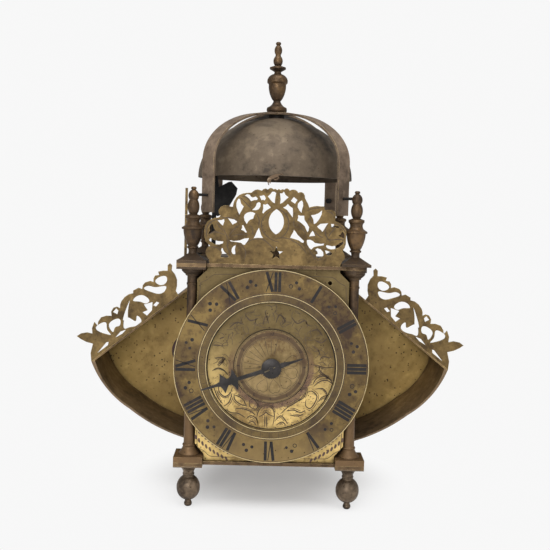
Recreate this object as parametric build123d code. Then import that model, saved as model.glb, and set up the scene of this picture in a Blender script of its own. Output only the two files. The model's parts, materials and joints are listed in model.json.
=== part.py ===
from build123d import *
from math import asin, cos, degrees, hypot, radians, sin
import os

# A winged lantern clock. Millimetres, +Z up, +X to the right, and the dial faces -Y.

# --- frame
pillarX = 68.6
pillarY = 71.7
footHeight = 38.0
plateThick = 3.0
plateOverhang = 6.3
blockSide = 24.5
blockHigh = 5.0
drumRadius = 10.2
shaftRadius = 4.1
shaftFoot = 4.7
tenonRadius = 2.4
tenonReach = 8.0
sheet = 1.5
fit = 0.05
knobX = 53.8
knobY = -60.0
knobDrop = 5.4
hoopDrop = 4.0
hoopHigh = 6.0
hoopThick = 3.0

# --- dial
ringOuter = 82.5
ringInner = 55.0
ringThick = 2.2
ringStandoff = 2.4
ringPinRadius = 1.5
ringPinCircle = 64.0
ringPinEnd = 1.2
ringDrop = 0.8
ringLift = 0.2
dialInset = 0.8
sheetNear = 0.5
alarmRadius = 31.0
alarmThick = 1.2
alarmGap = 0.8
pipeRadius = 3.6
studRadius = 2.0
handTip = 61.7
handTail = 27.5
handThick = 1.5
handGap = 5.3
handAngle = 198.6
bossRadius = 8.4
bossHeight = 1.3
stubRadius = 1.9
stubHeight = 0.9
handPinWide = 0.6
handPinNarrow = 0.4
handPinLong = 9.6
handPinHead = 6.2
handPinTurn = 26.6
keyholeX = 47.7
keyholeDrop = 11.4
keyholeRadius = 1.8

# --- frets
screwRadius = 1.5
screwHead = 2.6
lugHalf = 3.5
sideFretX = 81.5
sideFretTurn = 5.3
sideFretThick = 2.4
sideFretHalf = 30.0

# --- bell and strap
bellRadius = 70.9
bellHeight = 55.5
bellWall = 2.4
rimHeight = 74.5
boltRadius = 2.5
strapReach = 84.0
strapWide = 14.0
strapThick = 2.0
strapFoot = 42.5
strapSpring = 87.0
strapRise = 48.0
strapPinHeight = 57.0
strapPinRadius = 1.2
padRadius = 9.4
padDrop = 0.3
nutHigh = 5.0
nutRadius = 6.5
washerRadius = 7.0

# --- doors and wings
doorX = 70.0
hingeY = 56.0
pintleRadius = 1.2
knuckleRadius = 2.0
knuckleHigh = 8.0
doorClear = 0.4
wingHalf = 31.0
wingReach = 90.8
wingTipHeight = 74.7
wingTopHeight = 147.2
wingFootHeight = 4.5
slotHalf = 28.0
slotLow = 26.0
slotHigh = 134.0
wallStep = 1.2
notchHigh = 18.0

# --- movement
barWide = 20.0
barThick = 3.0
goingFrontY = -60.0
goingBackY = -16.0
strikeFrontY = 13.0
strikeBackY = 58.0
greatHeight = 41.7
arborRadius = 1.6
pivotRadius = 1.0
endShake = 0.3
pivotEnd = 0.2
wheelThick = 1.8
pinionOver = 2.1
armWide = 9.0
starRadius = 13.0
starThick = 1.5
dialWheelGap = 6.0

# --- wheels, pulleys and levers: how far each lies behind its train's front bar
goingPulleyIn = 9.0
goingGreatIn = 23.0
goingSecondIn = 31.0
warningIn = 8.0
strikeGreatIn = 16.0
strikePulleyIn = 26.0
hoopIn = 30.0
fanIn = 17.0
fanLong = 19.0
fanReach = 14.0
hammerIn = 6.0
springIn = 14.0
tailIn = 21.0
goingPulleyRadius = 13.0
strikePulleyRadius = 11.5
pulleyWide = 10.0
pulleyLip = 3.0

# --- verge, pendulum and hammer
vergeHeight = 7.0
vergeRadius = 1.2
collarRadius = 3.0
cockThick = 2.0
cockHalf = 5.0
cockFoot = 7.0
vergePivot = 0.8
vergeFrontCock = -55.0
vergeBackCock = 8.0
crownRadius = 11.0
crownBand = 1.2
crownTeeth = 15
crownDrop = 4.0
crownDeep = 8.0
crownArbor = 1.5
crownY = -36.0
potenceDrop = 12.0
potenceThick = 3.0
potenceHalf = 4.0
palletLength = 4.7
palletSpread = 48.0
pendulumLength = 122.0
pendulumSwing = 12.0
rodRadius = 1.5
armDeep = 7.0
bladeRadius = 15.7
bladeAngle = 39.0
bobThick = 4.0
hammerInset = 13.9
hammerHeight = 69.0
hammerThick = 8.0
hammerStem = 4.0
hammerLift = 6.0
hammerFall = 0.8
hammerClear = 0.4
hammerLug = 13.0
pinCircle = 30.0
pinRadius = 1.2
pinCount = 12
liftX = 48.0
liftHeight = 119.0
leverWide = 4.0
tailWide = 3.0
openClear = 1.0

# --- gears: teeth on each wheel with the leaves of the pinion that meshes with it, and the modules
dialTeeth = (48, 4)
goingTeeth = [(56, 7), (48, 6), (36, 6)]
goingModules = [1.1, 0.9, 0.9]
strikeTeeth = [(72, 6), (54, 6), (48, 6)]
strikeModules = [0.9, 0.8, 0.8]
countTeeth = (52, 8)
countModule = 1.0

# --- levels worked out from the sizes above
bottomTop = footHeight + plateThick
topUnder = bottomTop + ringLift + 2 * ringOuter + ringDrop
topTop = topUnder + plateThick
plateX = pillarX + plateOverhang
plateY = pillarY + plateOverhang
dialFront = -(pillarY + shaftRadius - dialInset)
dialBack = dialFront + sheet
ringBack = dialFront - ringStandoff
ringFront = ringBack - ringThick
dialZ = topUnder - ringDrop - ringOuter
fretFront = ringBack - 0.3
alarmBack = dialFront - alarmGap
handBack = ringFront - handGap
handFront = handBack - handThick
bossFront = handFront - bossHeight
stubFront = bossFront - stubHeight
handPinY = bossFront - 0.1
greatZ = bottomTop + greatHeight
vergeZ = topTop + vergeHeight
crownTop = vergeZ - crownDrop
bellRim = topTop + rimHeight
bellCrown = bellRim + bellHeight
strapTop = topTop + strapSpring + strapRise
spring = topTop + strapSpring
padUnder = strapTop - strapThick - padDrop
hammerX = hammerInset - bellRadius
hammerZ = bottomTop + hammerHeight
hammerY = strikeFrontY + barThick + hammerIn
springY = strikeFrontY + barThick + springIn
tailY = strikeFrontY + barThick + tailIn
liftZ = bottomTop + liftHeight
diagonal = degrees(asin(pillarY / hypot(pillarX, pillarY)))
finialReach = hypot(pillarX, pillarY)
frontScrews = [(-26.0, -70.0), (26.0, -70.0)]
sideScrews = [(-71.0, -20.0), (-71.0, 28.0)]
corners = {"front_left": (-1, -1), "front_right": (1, -1), "back_left": (-1, 1), "back_right": (1, 1)}


# --- helpers
def shape(start, *steps):
    """A closed face: a step (a, b) is straight, a step ((a, b), (c, d)) is an arc through (a, b)."""
    edges = []
    here = start
    for step in steps:
        curved = isinstance(step[0], tuple)
        edges.append(ThreePointArc(here, *step) if curved else Line(here, step))
        here = step[1] if curved else step
    if here != start:
        edges.append(Line(here, start))
    return make_face(Curve() + edges)


def smooth(*points):
    return make_face(Spline(*points, periodic=True))


def round_at(x, z, radius):
    return Pos(x, z) * Circle(radius)


def box_at(x0, x1, z0, z1):
    return Pos((x0 + x1) / 2, (z0 + z1) / 2) * Rectangle(x1 - x0, z1 - z0)


def strip(start, end, wide):
    """A straight bar with round ends from one point to another."""
    middle = ((start[0] + end[0]) / 2, (start[1] + end[1]) / 2)
    run = hypot(end[0] - start[0], end[1] - start[1])
    turn = degrees(asin((end[1] - start[1]) / run))
    turn = 180 - turn if end[0] < start[0] else turn
    return Pos(*middle) * Rot(0, 0, turn) * SlotCenterToCenter(run, wide)


def upright(face, front, back):
    """The solid of an XZ face between y = front and y = back."""
    return extrude(Plane.XZ.offset(-back) * face, back - front)


def level(face, low, high):
    """The solid of an XY face between z = low and z = high."""
    return extrude(Plane.XY.offset(low) * face, high - low)


def turned(face):
    return revolve(Plane.XZ * face, Axis.Z)


def cap(radius, height):
    """Half the section of a shallow dome: its foot on the floor, its top on the axis."""
    ball = (radius ** 2 + height ** 2) / (2 * height)
    half = asin(radius / ball) / 2
    return shape((0, 0), (radius, 0), ((ball * sin(half), height - ball * (1 - cos(half))), (0, height)))


def save(name, solid):
    export_step(solid, f"parts/{name}.step")
    print(name, len(solid.solids()), round(solid.volume))


# --- frame
def plate(low, high, roundRight):
    face = Rectangle(2 * plateX, 2 * plateY)
    for sideX, sideY in corners.values():
        block = Circle(drumRadius) if roundRight and sideX > 0 else Rectangle(blockSide, blockSide)
        face += Pos(sideX * pillarX, sideY * pillarY) * block
    for sideX, sideY in corners.values():
        face -= round_at(sideX * pillarX, sideY * pillarY, tenonRadius + fit)
    for side in (-1, 1):
        face -= round_at(side * doorX, hingeY, pintleRadius + fit)
    return level(face, low, high)


def bottom_plate():
    return plate(footHeight, bottomTop, False)


def top_plate():
    """The top plate, opened for the crown wheel, the swinging rod and the hammer's stem."""
    solid = plate(topUnder, topTop, True)
    swing = (vergeHeight + plateThick) * sin(radians(pendulumSwing)) + rodRadius + openClear
    openings = round_at(0, crownY, crownRadius + crownBand / 2 + openClear)
    openings += Rectangle(2 * swing, 2 * (rodRadius + openClear))
    travel = (topTop - hammerZ) * sin(radians(hammerLift))
    openings += Pos(hammerX + travel / 2, hammerY) * Rectangle(travel + 2 * hammerStem, hammerStem + 2 * openClear)
    for x, y in frontScrews + sideScrews:
        openings += round_at(x, y, screwRadius + fit)
    return solid - level(openings, topUnder - 1, topTop + 1)


def pillar(sideX):
    """The turned pillar between the plates, with a tenon at each end for the foot and the finial."""
    base = bottomTop + blockHigh
    head = topUnder - 2.0
    roundHead = sideX > 0
    face = shape(
        (0, base), (8.9, base), (8.9, base + 0.8), ((7.0, base + 3.0), (5.3, base + 6.4)),
        (5.3, base + 7.0), ((5.7, base + 7.8), (5.3, base + 8.6)), (shaftFoot, base + 9.2),
        (shaftRadius, head - 14.0), (4.6, head - 13.4), (4.6, head - 12.2), (shaftRadius, head - 11.6),
        (shaftRadius, head - 6.4), (5.6, head - 5.8), (5.6, head - 4.8), ((7.0, head - 3.8), (8.9, head - 1.8)),
        (8.9, head), (0, head))
    solid = turned(face) + level(Rectangle(blockSide, blockSide), bottomTop, base)
    solid += level(Circle(drumRadius) if roundHead else Rectangle(blockSide, blockSide), head, topUnder)
    tenon = Circle(tenonRadius)
    return solid + level(tenon, footHeight - tenonReach, bottomTop) + level(tenon, topUnder, topTop + tenonReach)


def foot():
    """A turned foot: a tip button, a pear bulb, a neck and a bowl under the square block."""
    slab = footHeight - 1.0
    face = shape(
        (0, 0), (2.4, 0), ((3.4, 1.8), (2.8, 3.8)), (2.5, 5.6), ((8.3, 10.0), (10.0, 16.0)),
        ((8.9, 21.6), (5.2, 26.0)), (4.5, slab - 9.8), (5.0, slab - 9.2), (5.0, slab - 8.2), (4.5, slab - 7.6),
        ((6.0, slab - 4.0), (9.6, slab - 1.4)), (blockSide / 2 - 0.4, slab), (0, slab))
    solid = turned(face) + level(Rectangle(blockSide, blockSide), slab, footHeight)
    return solid - level(Circle(tenonRadius + fit), footHeight - tenonReach - fit, footHeight)


def finial():
    """A pillar finial on its square base, bored across for the strap pin."""
    lift = topTop
    ball = topTop + strapPinHeight
    base = level(Rectangle(blockSide, blockSide), lift, lift + 2.4)
    roof = loft([Plane.XY.offset(lift + 2.4) * Rectangle(blockSide - 1, blockSide - 1),
                 Plane.XY.offset(lift + 8.0) * Rectangle(6.6, 6.6)])
    face = shape(
        (0, lift + 7.0), (4.0, lift + 7.0), ((3.5, lift + 9.4), (3.9, lift + 11.8)),
        ((4.9, lift + 12.8), (3.9, lift + 13.8)), ((6.4, lift + 19.0), (8.1, lift + 27.6)),
        (9.5, lift + 28.2), (9.5, lift + 29.4), (7.4, lift + 30.8), ((5.4, lift + 33.6), (6.2, lift + 36.8)),
        (6.7, lift + 37.2), (6.7, lift + 39.2), (3.2, lift + 40.6), ((5.0, lift + 46.0), (3.4, ball - 4.4)),
        ((4.3, ball + 0.4), (1.5, ball + 4.0)), ((2.3, ball + 5.4), (0.8, ball + 6.5)), (0, ball + 6.5))
    solid = base + roof + turned(face)
    return solid - level(Circle(tenonRadius + fit), lift, lift + tenonReach + fit)


def pin_bore(radius, start, end, sideX, sideY):
    """A rod along a diagonal of the clock at the strap pins' height, between two reaches from its axis."""
    rod = Pos(start, 0, topTop + strapPinHeight) * Rot(0, 90, 0) * Cylinder(
        radius, end - start, align=(Align.CENTER, Align.CENTER, Align.MIN))
    turn = {(1, 1): diagonal, (-1, 1): 180 - diagonal, (-1, -1): 180 + diagonal, (1, -1): -diagonal}
    return Rot(0, 0, turn[(sideX, sideY)]) * rod


def plate_knob():
    top = footHeight
    face = shape(
        (0, top), (1.6, top), (1.6, top - 0.8), ((2.7, top - 2.8), (1.6, top - 4.8)), (1.2, top - knobDrop),
        (0, top - knobDrop))
    return Pos(knobX, knobY, 0) * turned(face)


# --- dial
def case_sheet():
    """The outline that clears the pillars' blocks, mouldings and shafts, in X and Z."""
    inner = pillarX - blockSide / 2 - 0.5
    foot = pillarX - shaftFoot - sheetNear
    head = pillarX - shaftRadius - sheetNear
    right = [
        (inner, bottomTop), (inner, bottomTop + blockHigh + 0.6), (foot, bottomTop + 14.5),
        (head, topUnder - 10.6), (inner, topUnder - 2.6), (inner, topUnder)]
    left = [(-x, z) for x, z in reversed(right)]
    return shape(*(right + left))


def ring_pins():
    return [(ringPinCircle * cos(radians(a)), dialZ + ringPinCircle * sin(radians(a))) for a in (45, 135, 225, 315)]


def dial_plate():
    face = case_sheet() - round_at(0, dialZ, pipeRadius + 0.4)
    face -= round_at(keyholeX, topUnder - keyholeDrop, keyholeRadius)
    for x, z in ring_pins():
        face -= round_at(x, z, ringPinRadius + fit)
    return upright(face, dialFront, dialBack)


def chapter_ring():
    face = round_at(0, dialZ, ringOuter) - round_at(0, dialZ, ringInner)
    solid = upright(face, ringFront, ringBack)
    for x, z in ring_pins():
        solid += upright(round_at(x, z, ringPinRadius), ringBack, dialBack + ringPinEnd)
        solid += upright(round_at(x, z, ringPinRadius + 1.2), ringBack, dialFront)
    return solid


def alarm_disc():
    solid = upright(round_at(0, dialZ, alarmRadius), alarmBack - alarmThick, alarmBack)
    solid += upright(round_at(0, dialZ, pipeRadius + 3.0), alarmBack - alarmThick - 1.6, alarmBack)
    return solid - upright(round_at(0, dialZ, pipeRadius + fit), alarmBack - 9, alarmBack + 9)


def hand_outline():
    """The hand along +a from the dial centre: a tapered blade, two pairs of barbs, a pointer and a thin tail."""
    blade = [
        (0, 1.8), (29.6, 1.5), (30.4, 5.4), (31.8, 9.6), (33.8, 5.2), (35.6, 2.9), (38.2, 2.8), (40.0, 5.2), (42.6, 8.5),
        (43.6, 5.0), (44.8, 2.1), (48.0, 1.2), (handTip, 0.5)]
    tail = [(-9.0, 2.2), (-17.0, 1.1), (-handTail, 0.4)]
    half = tail[::-1] + blade
    return shape(*(half + [(a, -b) for a, b in reversed(half)])) + Circle(bossRadius)


def hand_pin(room=0.0):
    """The taper pin across the front of the hand's boss, or with some room round it, its bore."""
    cone = Cone(handPinWide + room, handPinNarrow + room, handPinLong, align=(Align.CENTER, Align.CENTER, Align.MIN))
    return Pos(0, handPinY, dialZ) * Rot(0, -handPinTurn, 0) * Pos(-handPinHead, 0, 0) * Rot(0, 90, 0) * cone


def hour_hand():
    """The hand with its domed boss and the bored stub that its pin goes through."""
    spot = Pos(0, dialZ) * Rot(0, 0, handAngle)
    boss = Pos(0, handFront, dialZ) * Rot(90, 0, 0) * turned(cap(bossRadius, bossHeight))
    solid = upright(spot * hand_outline(), handFront, handBack) + boss
    solid += upright(round_at(0, dialZ, stubRadius), stubFront, handFront)
    return solid - hand_pin(fit)


# --- frets
def scaled(points, across, lift):
    """Fret points, in mm from the clock's middle and from the fret's foot, fitted to the real gap and level."""
    return [(x * across, z + lift) for x, z in points]


frontFretDrawn = 56.35
frontFretEdge = [(-54, 0), (-54.4, 3.3), (-56.3, 5.6), (-57.5, 8.6), (-56.8, 11.9), (-55.4, 13.5), (-53.8, 14.6),
 (-55.7, 16.5), (-57.6, 18.1), (-58.7, 22.3), (-58.9, 27), (-58.3, 30.9), (-56.3, 34.4), (-53.6, 36.6),
 (-50.2, 37.9), (-46.8, 38.6), (-45.7, 39.8), (-47.1, 42.1), (-47.2, 44.5), (-45.5, 47.2), (-42.6, 48.5),
 (-39.5, 48.5), (-37.6, 47.7), (-35.5, 47.5), (-35.2, 49.6), (-34.4, 52.4), (-32.7, 55.2), (-30.4, 57.4),
 (-27.4, 58.8), (-23.9, 59.4), (-20.2, 59.7), (-19.1, 60.8), (-17.3, 62), (-15.1, 62.5), (-12.7, 61.8),
 (-11.6, 61.6), (-10.6, 62.8), (-8.6, 63.4), (-6.7, 62.6), (-5.7, 63.5), (-4.3, 64), (-2.8, 63.5),
 (-1.8, 62.8), (-0.8, 63.4), (0.4, 62.8), (1.2, 62.3), (2.1, 63.3), (3.3, 62.9), (3.9, 62.3), (4.8, 63.1),
 (6, 63.1), (6.9, 62.8), (7.9, 63.8), (9.5, 64), (10.8, 63.1), (11.4, 62.1), (12.6, 62.8), (14.3, 63.2),
 (16.1, 62.9), (17.6, 62), (18.6, 60.6), (19.7, 61.1), (21.5, 61.2), (23, 60.3), (24.1, 58.6), (24.3, 56.4),
 (25.5, 54.1), (27.1, 51.5), (28.1, 48.7), (31, 49.6), (34.6, 50.1), (38.2, 49.9), (40.5, 49.9), (40.7, 48),
 (41.4, 46.7), (43.6, 47), (46.6, 47.1), (49, 46.3), (50.3, 44.2), (50.4, 41.2), (49.7, 38.8), (50.6, 37.6),
 (52.5, 37.1), (54.8, 35.7), (57.5, 33.6), (59.6, 30.1), (59.6, 26.6), (59.6, 23.1), (59.6, 18.9),
 (58.7, 15.8), (56.8, 13.1), (58.1, 11.5), (59.1, 8.7), (58.7, 6.3), (57.1, 4.4), (55.2, 0)]
frontFretHoles = [
    [(-30.9, 54.4), (-29.8, 54.1), (-28.7, 50.3), (-26.5, 48), (-27.7, 45.6), (-29.9, 41.3), (-31.2, 43.8),
     (-32.6, 47.9), (-32.6, 50.8), (-31.8, 53.2)],
    [(-25.7, 57.2), (-23.9, 58.3), (-21.8, 57.9), (-20.6, 56.2), (-19.1, 55.6), (-16.7, 56.6), (-15, 55.1),
     (-15.5, 53.7), (-17.8, 53.6), (-20.5, 52.6), (-22, 54.7), (-23.8, 56.1)],
    [(-13.5, 57), (-11.4, 57.3), (-10.5, 57.9), (-9.3, 57.4), (-8.3, 55.3), (-9.2, 53.5), (-10.7, 54.1),
     (-11.8, 53.6), (-12.5, 55)],
    [(-6.6, 56.9), (-4.6, 58.7), (-3.2, 60.8), (-1.4, 61), (0.2, 60), (-0.2, 57.6), (-0.6, 54.7), (-0.7, 51.4),
     (-2.4, 52.2), (-4.5, 54.3)],
    [(-13.9, 52), (-12.5, 51.1), (-12.6, 48.4), (-14.1, 46), (-16.4, 45.2), (-19.4, 45.3), (-17.7, 46.8),
     (-16.2, 48.9), (-15.7, 51)],
    [(-10.3, 50.3), (-8.5, 50), (-6.8, 50.8), (-5.2, 49.2), (-3.9, 47.8), (-5.8, 46.5), (-8.1, 45),
     (-10.1, 42.7), (-10.9, 43.4), (-10.2, 46.7)],
    [(-16.7, 42.4), (-18.8, 43.5), (-21.1, 43.6), (-23.8, 42.8), (-25.5, 41.3), (-26.1, 39.2), (-25.4, 36.2),
     (-23.6, 33.6), (-22.4, 35.7), (-21, 37.2), (-18.3, 38.2), (-17.8, 40.6)],
    [(-13.4, 30.7), (-14.8, 28.2), (-16.2, 24.6), (-17.5, 21.9), (-14.1, 22.3), (-9.9, 22.3), (-11.4, 24.7),
     (-12.4, 27.7)],
    [(-27.4, 32.3), (-26.5, 32.6), (-25.3, 30.3), (-23.4, 26.8), (-24.3, 26.3), (-26.1, 27.9), (-28.2, 28.7),
     (-27.3, 30.2)],
    [(-48, 35.9), (-44.7, 36.3), (-42.5, 37.1), (-42.3, 35.2), (-43.4, 31.7), (-45.2, 33)],
    [(-39.4, 38), (-36.7, 37.4), (-34, 37), (-31.6, 35.2), (-32.8, 34.1), (-34, 33.7), (-35.4, 32.7),
     (-36.8, 34.7)],
    [(-52.7, 32.8), (-51.8, 32.8), (-51.1, 30.2), (-49.7, 27.5), (-51.9, 26.3), (-55.6, 23.9), (-54.9, 26.2),
     (-54, 27.7), (-54.7, 29.5), (-53.8, 31.6)],
    [(-55.2, 21), (-53.3, 20.9), (-50.9, 19.8), (-47.3, 18.7), (-42.8, 18.5), (-43.1, 17), (-46.1, 15.9),
     (-49.6, 15.9), (-52.3, 17.4), (-54.5, 19.1)],
    [(-37.5, 19.8), (-34.2, 19), (-28.9, 19.8), (-25.4, 21.4), (-21.5, 21.9), (-22.3, 19.7), (-24.9, 16.1),
     (-26.4, 16.3), (-27.9, 17.7), (-31.2, 18.2), (-36.6, 18.8)],
    [(-32.4, 15.5), (-34.1, 14.9), (-35.6, 12.7), (-35.8, 10.4), (-34.9, 8.5), (-32.8, 7.1), (-32.5, 9.2),
     (-33, 12.2)],
    [(-44.2, 12.6), (-43.1, 12.9), (-42.7, 11.4), (-41.5, 9.6), (-39.3, 7.6), (-37.5, 5.5), (-41.1, 5.1),
     (-44.9, 5.3), (-44.1, 7.7), (-43.6, 9.1), (-44.5, 11.2)],
    [(3.4, 59.8), (5.2, 59.7), (6.6, 61.2), (8.2, 58.4), (10.6, 56.7), (8.3, 54.6), (6, 52.2), (3.7, 51.1),
     (4.1, 54.8)],
    [(15, 57), (18.1, 54.6), (16.1, 51.5), (12.6, 53.7)],
    [(21.7, 54.4), (22.7, 52.9), (23, 50), (22.2, 47), (21.8, 44.1), (20.1, 45.8), (18.4, 48.7), (18.5, 51.3),
     (19.9, 53.2)],
    [(10.2, 51.1), (11.7, 49.4), (14.4, 47.7), (14.7, 43.2), (14.5, 40), (12.5, 42.6), (9.7, 46.1), (6.4, 48),
     (8.4, 49)],
    [(19, 42.2), (20.8, 41.6), (24.1, 41.7), (24.5, 38.2), (26.7, 35.3), (28.5, 32.3), (28.1, 29.3),
     (27.2, 28.2), (25.9, 30.5), (25, 32.8), (22.5, 35.1), (20.4, 36.6), (18.4, 37.7), (19.1, 39.8)],
    [(29.8, 42.2), (33, 42.8), (36, 44.1), (38.9, 46.6), (38.7, 43.3), (36.7, 39.1), (34.4, 36.1),
     (32.4, 34.9), (31.7, 39)],
    [(35.1, 33.1), (38, 35.3), (44.3, 36), (42.8, 33.9), (41.2, 30.9), (39.7, 28.6), (38.5, 30.2), (36.4, 31.6)],
    [(46.7, 35.5), (49.1, 35.4), (49.7, 34), (52.7, 33.7), (53.9, 32.7), (51.3, 32.1), (49.1, 32.9),
     (47.7, 32.1), (47, 33.7)],
    [(56.4, 29.5), (58, 27.8), (58.6, 23.3), (56.9, 23.9), (54.8, 25), (53, 25.8), (55, 27.1)],
    [(43.4, 17.7), (45.8, 17.3), (48.2, 16.8), (51.2, 17.4), (54.1, 19.6), (57.9, 21.2), (57.1, 18.8),
     (54.2, 16.3), (51.2, 14.8), (47.4, 14.2), (44.7, 14.9), (43.1, 16.3)],
    [(42.3, 13.3), (44.7, 12.8), (48.7, 11.1), (47.2, 9.3), (44.6, 8.8), (43.3, 10.7)],
    [(27, 21.6), (29.5, 21.9), (31.9, 20.8), (33.8, 19.2), (38.6, 18.6), (41.5, 19), (41, 17.5), (36.2, 16.7),
     (33, 15.8), (30.8, 13.7), (29.1, 15.1), (27.5, 17.7), (26.9, 19.8)],
    [(31.4, 29.4), (32.6, 28), (33.7, 25.2), (31.2, 25), (28.7, 24.6), (29.9, 27.3)],
    [(15.8, 29.7), (17.1, 28.5), (19.2, 25.5), (22.3, 22.6), (24.5, 20.6), (24.2, 19.2), (23, 19.2),
     (20, 21.1), (16.4, 22.2), (12.9, 23), (13.9, 25.4), (15.3, 27.8)],
    [(35.7, 14.9), (38.7, 14.1), (40.9, 11.8), (41.3, 9.1), (39.5, 7.3), (37.2, 6.4), (35.3, 7.7), (34.8, 9.4),
     (36.4, 10.4), (35.8, 12.2), (34.3, 13.7)]]


def star(x, z, radius):
    points = []
    for step in range(10):
        reach = radius if step % 2 == 0 else radius * 0.42
        angle = radians(90 + 36 * step)
        points.append((x + reach * cos(angle), z + reach * sin(angle)))
    return shape(*points)


def front_fret():
    """The pierced front fret, with two lugs behind it for its screws."""
    across = (pillarX - blockSide / 2) / frontFretDrawn
    face = shape(*scaled(frontFretEdge, across, topTop))
    foot = box_at(-across * 54, across * 55.2, topTop, topTop + 4)
    for hole in frontFretHoles:
        face -= shape(*scaled(hole, across, topTop))
    low = (1, topTop + 25.5)
    vesica = shape(low, ((7.3, topTop + 36), (1, topTop + 46.5)), ((-5.3, topTop + 36), low))
    face = face + foot - vesica - star(1.6, topTop + 9.6, 5.8)
    solid = upright(face, fretFront, fretFront + sheet)
    for x, y in frontScrews:
        lug = box_at(x - lugHalf, x + lugHalf, fretFront + sheet, y + lugHalf)
        solid += level(lug - round_at(x, y, screwRadius + fit), topTop, topTop + sheet)
    return solid


def side_fret():
    """The left side fret, which the photograph shows edge on, standing outside the top plate."""
    half = sideFretHalf
    edge = shape(
        (-half, 0), (half, 0), (half, 8), ((half - 6, 14), (half - 4, 24)), ((half - 10, 34), (14, 40)),
        ((10, 56), (0, 64.4)), ((-10, 56), (-14, 40)), ((10 - half, 34), (4 - half, 24)), ((6 - half, 14), (-half, 8)))
    holes = round_at(0, 46, 4.5) + round_at(-13, 22, 5) + round_at(13, 22, 5) + shape(
        (0, 12), ((4.5, 22), (0, 34)), ((-4.5, 22), (0, 12)))
    flat = extrude(Plane.XZ * (edge - holes), sideFretThick / 2, both=True)
    solid = Pos(-sideFretX, 0, topTop) * Rot(0, 0, 90 + sideFretTurn) * flat
    for x, y in sideScrews:
        lug = box_at(-sideFretX - y * sin(radians(sideFretTurn)), x + lugHalf, y - lugHalf, y + lugHalf)
        lug -= round_at(x, y, screwRadius + fit)
        solid += level(lug, topTop, topTop + sheet)
    return solid


def fret_screws():
    head = topTop + sheet
    screws = [Pos(x, y, 0) * (level(Circle(screwRadius), topUnder, head) + level(Circle(screwHead), head, head + 1.6))
              for x, y in frontScrews + sideScrews]
    return Compound(children=screws)


# --- back plate and doors
def back_plate():
    """The back plate, with the iron hoop that the clock also hangs by."""
    front = -dialBack
    back = -dialFront
    reach = -stubFront - back
    solid = upright(case_sheet(), front, back)
    ring = Pos(0, back) * (Circle(reach) - Circle(reach - hoopThick)) - box_at(-reach - 1, reach + 1, 0, back)
    return solid + level(ring, topUnder - hoopDrop - hoopHigh, topUnder - hoopDrop)


def door_plate():
    """The right door: a sheet between the pillars on two pintles, with the slot that the bob swings through."""
    low = bottomTop + doorClear
    high = topUnder - doorClear
    inner = pillarY - blockSide / 2 - wallStep
    outer = pillarY - shaftRadius - sheet * 2
    face = box_at(-inner, inner, low, high) + box_at(-outer, outer, low + notchHigh, high - notchHigh)
    face -= box_at(-slotHalf, slotHalf, bottomTop + slotLow, bottomTop + slotHigh)
    solid = Pos(doorX - sheet / 2, 0, 0) * extrude(Plane.YZ * face, sheet)
    for z in (low, high - knuckleHigh):
        solid += Pos(doorX, hingeY, 0) * level(Circle(knuckleRadius), z, z + knuckleHigh)
    return solid + Pos(doorX, hingeY, 0) * (
        level(Circle(pintleRadius), footHeight, low) + level(Circle(pintleRadius), high, topTop))


wingWall = doorX + sheet / 2
wingTip = (wingWall + wingReach, bottomTop + wingTipHeight)
wingPeak = (wingWall, bottomTop + wingTopHeight)
wingSlope = (wingPeak[1] - wingTip[1]) / wingReach
slopeDrop = sheet * hypot(1, wingSlope)
wingSeam = (wingTip[0] - 2.2 * sheet, wingTip[1] + 0.4 * sheet)


def wing_face(inset):
    """The right wing's outline in X and Z, drawn in by the inset on its slope and on its rim."""
    drop = inset * hypot(1, wingSlope)
    foot = (wingWall, bottomTop + wingFootHeight + inset)
    low = (wingWall + 0.34 * wingReach, bottomTop + 0.215 * wingTipHeight)
    mid = (wingWall + 0.615 * wingReach, bottomTop + 0.427 * wingTipHeight)
    high = (wingWall + 0.856 * wingReach, bottomTop + 0.69 * wingTipHeight)
    lean = inset * 0.72
    bend = (mid[0] - lean, mid[1] + inset)
    end = (wingTip[0] - 2.2 * inset, wingTip[1] + 0.4 * inset)
    return shape(
        foot, ((low[0] - lean / 2, low[1] + inset), bend), ((high[0] - inset, high[1] + lean), end),
        (wingPeak[0], wingPeak[1] - drop))


def wing_back():
    return upright(wing_face(sheet + fit), wingHalf - sheet, wingHalf)


def wing_top():
    face = shape(wingPeak, wingTip, wingSeam, (wingPeak[0], wingPeak[1] - slopeDrop))
    return upright(face, -wingHalf, wingHalf)


def wing_rim():
    whole = wing_face(0) - wing_face(sheet)
    beyond = wingWall - 5
    top = shape(wingPeak, wingTip, wingSeam, (beyond, wingPeak[1] - slopeDrop), (beyond, wingPeak[1]))
    return upright(whole - top, -wingHalf, wingHalf)


wingFretEdge = [
    (0, 0), (0.7, 7.5), (-1.3, 16), (4.7, 17.5), (9.7, 20), (13.2, 22.5), (9.7, 25), (4.2, 26), (-0.8, 25),
    (-0.3, 30), (-2.3, 35.5), (-5.3, 32), (-5.8, 36), (-8.3, 40), (-12.8, 41.5), (-17.8, 41.5), (-17.3, 45.5),
    (-19.3, 49), (-22.3, 50), (-25.3, 48.5), (-25.3, 52), (-26.3, 55), (-29.3, 59), (-32.8, 61.5), (-36.8, 62.5),
    (-36.8, 65), (-41.3, 67.5), (-44.8, 66.5), (-45.3, 70), (-47.3, 72.5), (-51.8, 74), (-54.8, 73), (-54.8, 76.5),
    (-56.3, 79), (-59.8, 79.5), (-58.8, 82.5), (-63.3, 83.5), (-67.3, 83.5), (-67.3, 88.5), (-69.2, 90.3),
    (-71.2, 88.5), (-70.8, 84), (-73.8, 80.5), (-75.8, 75.5), (-75.8, 70), (-74.8, 65.5), (-78.5, 60)]
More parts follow.
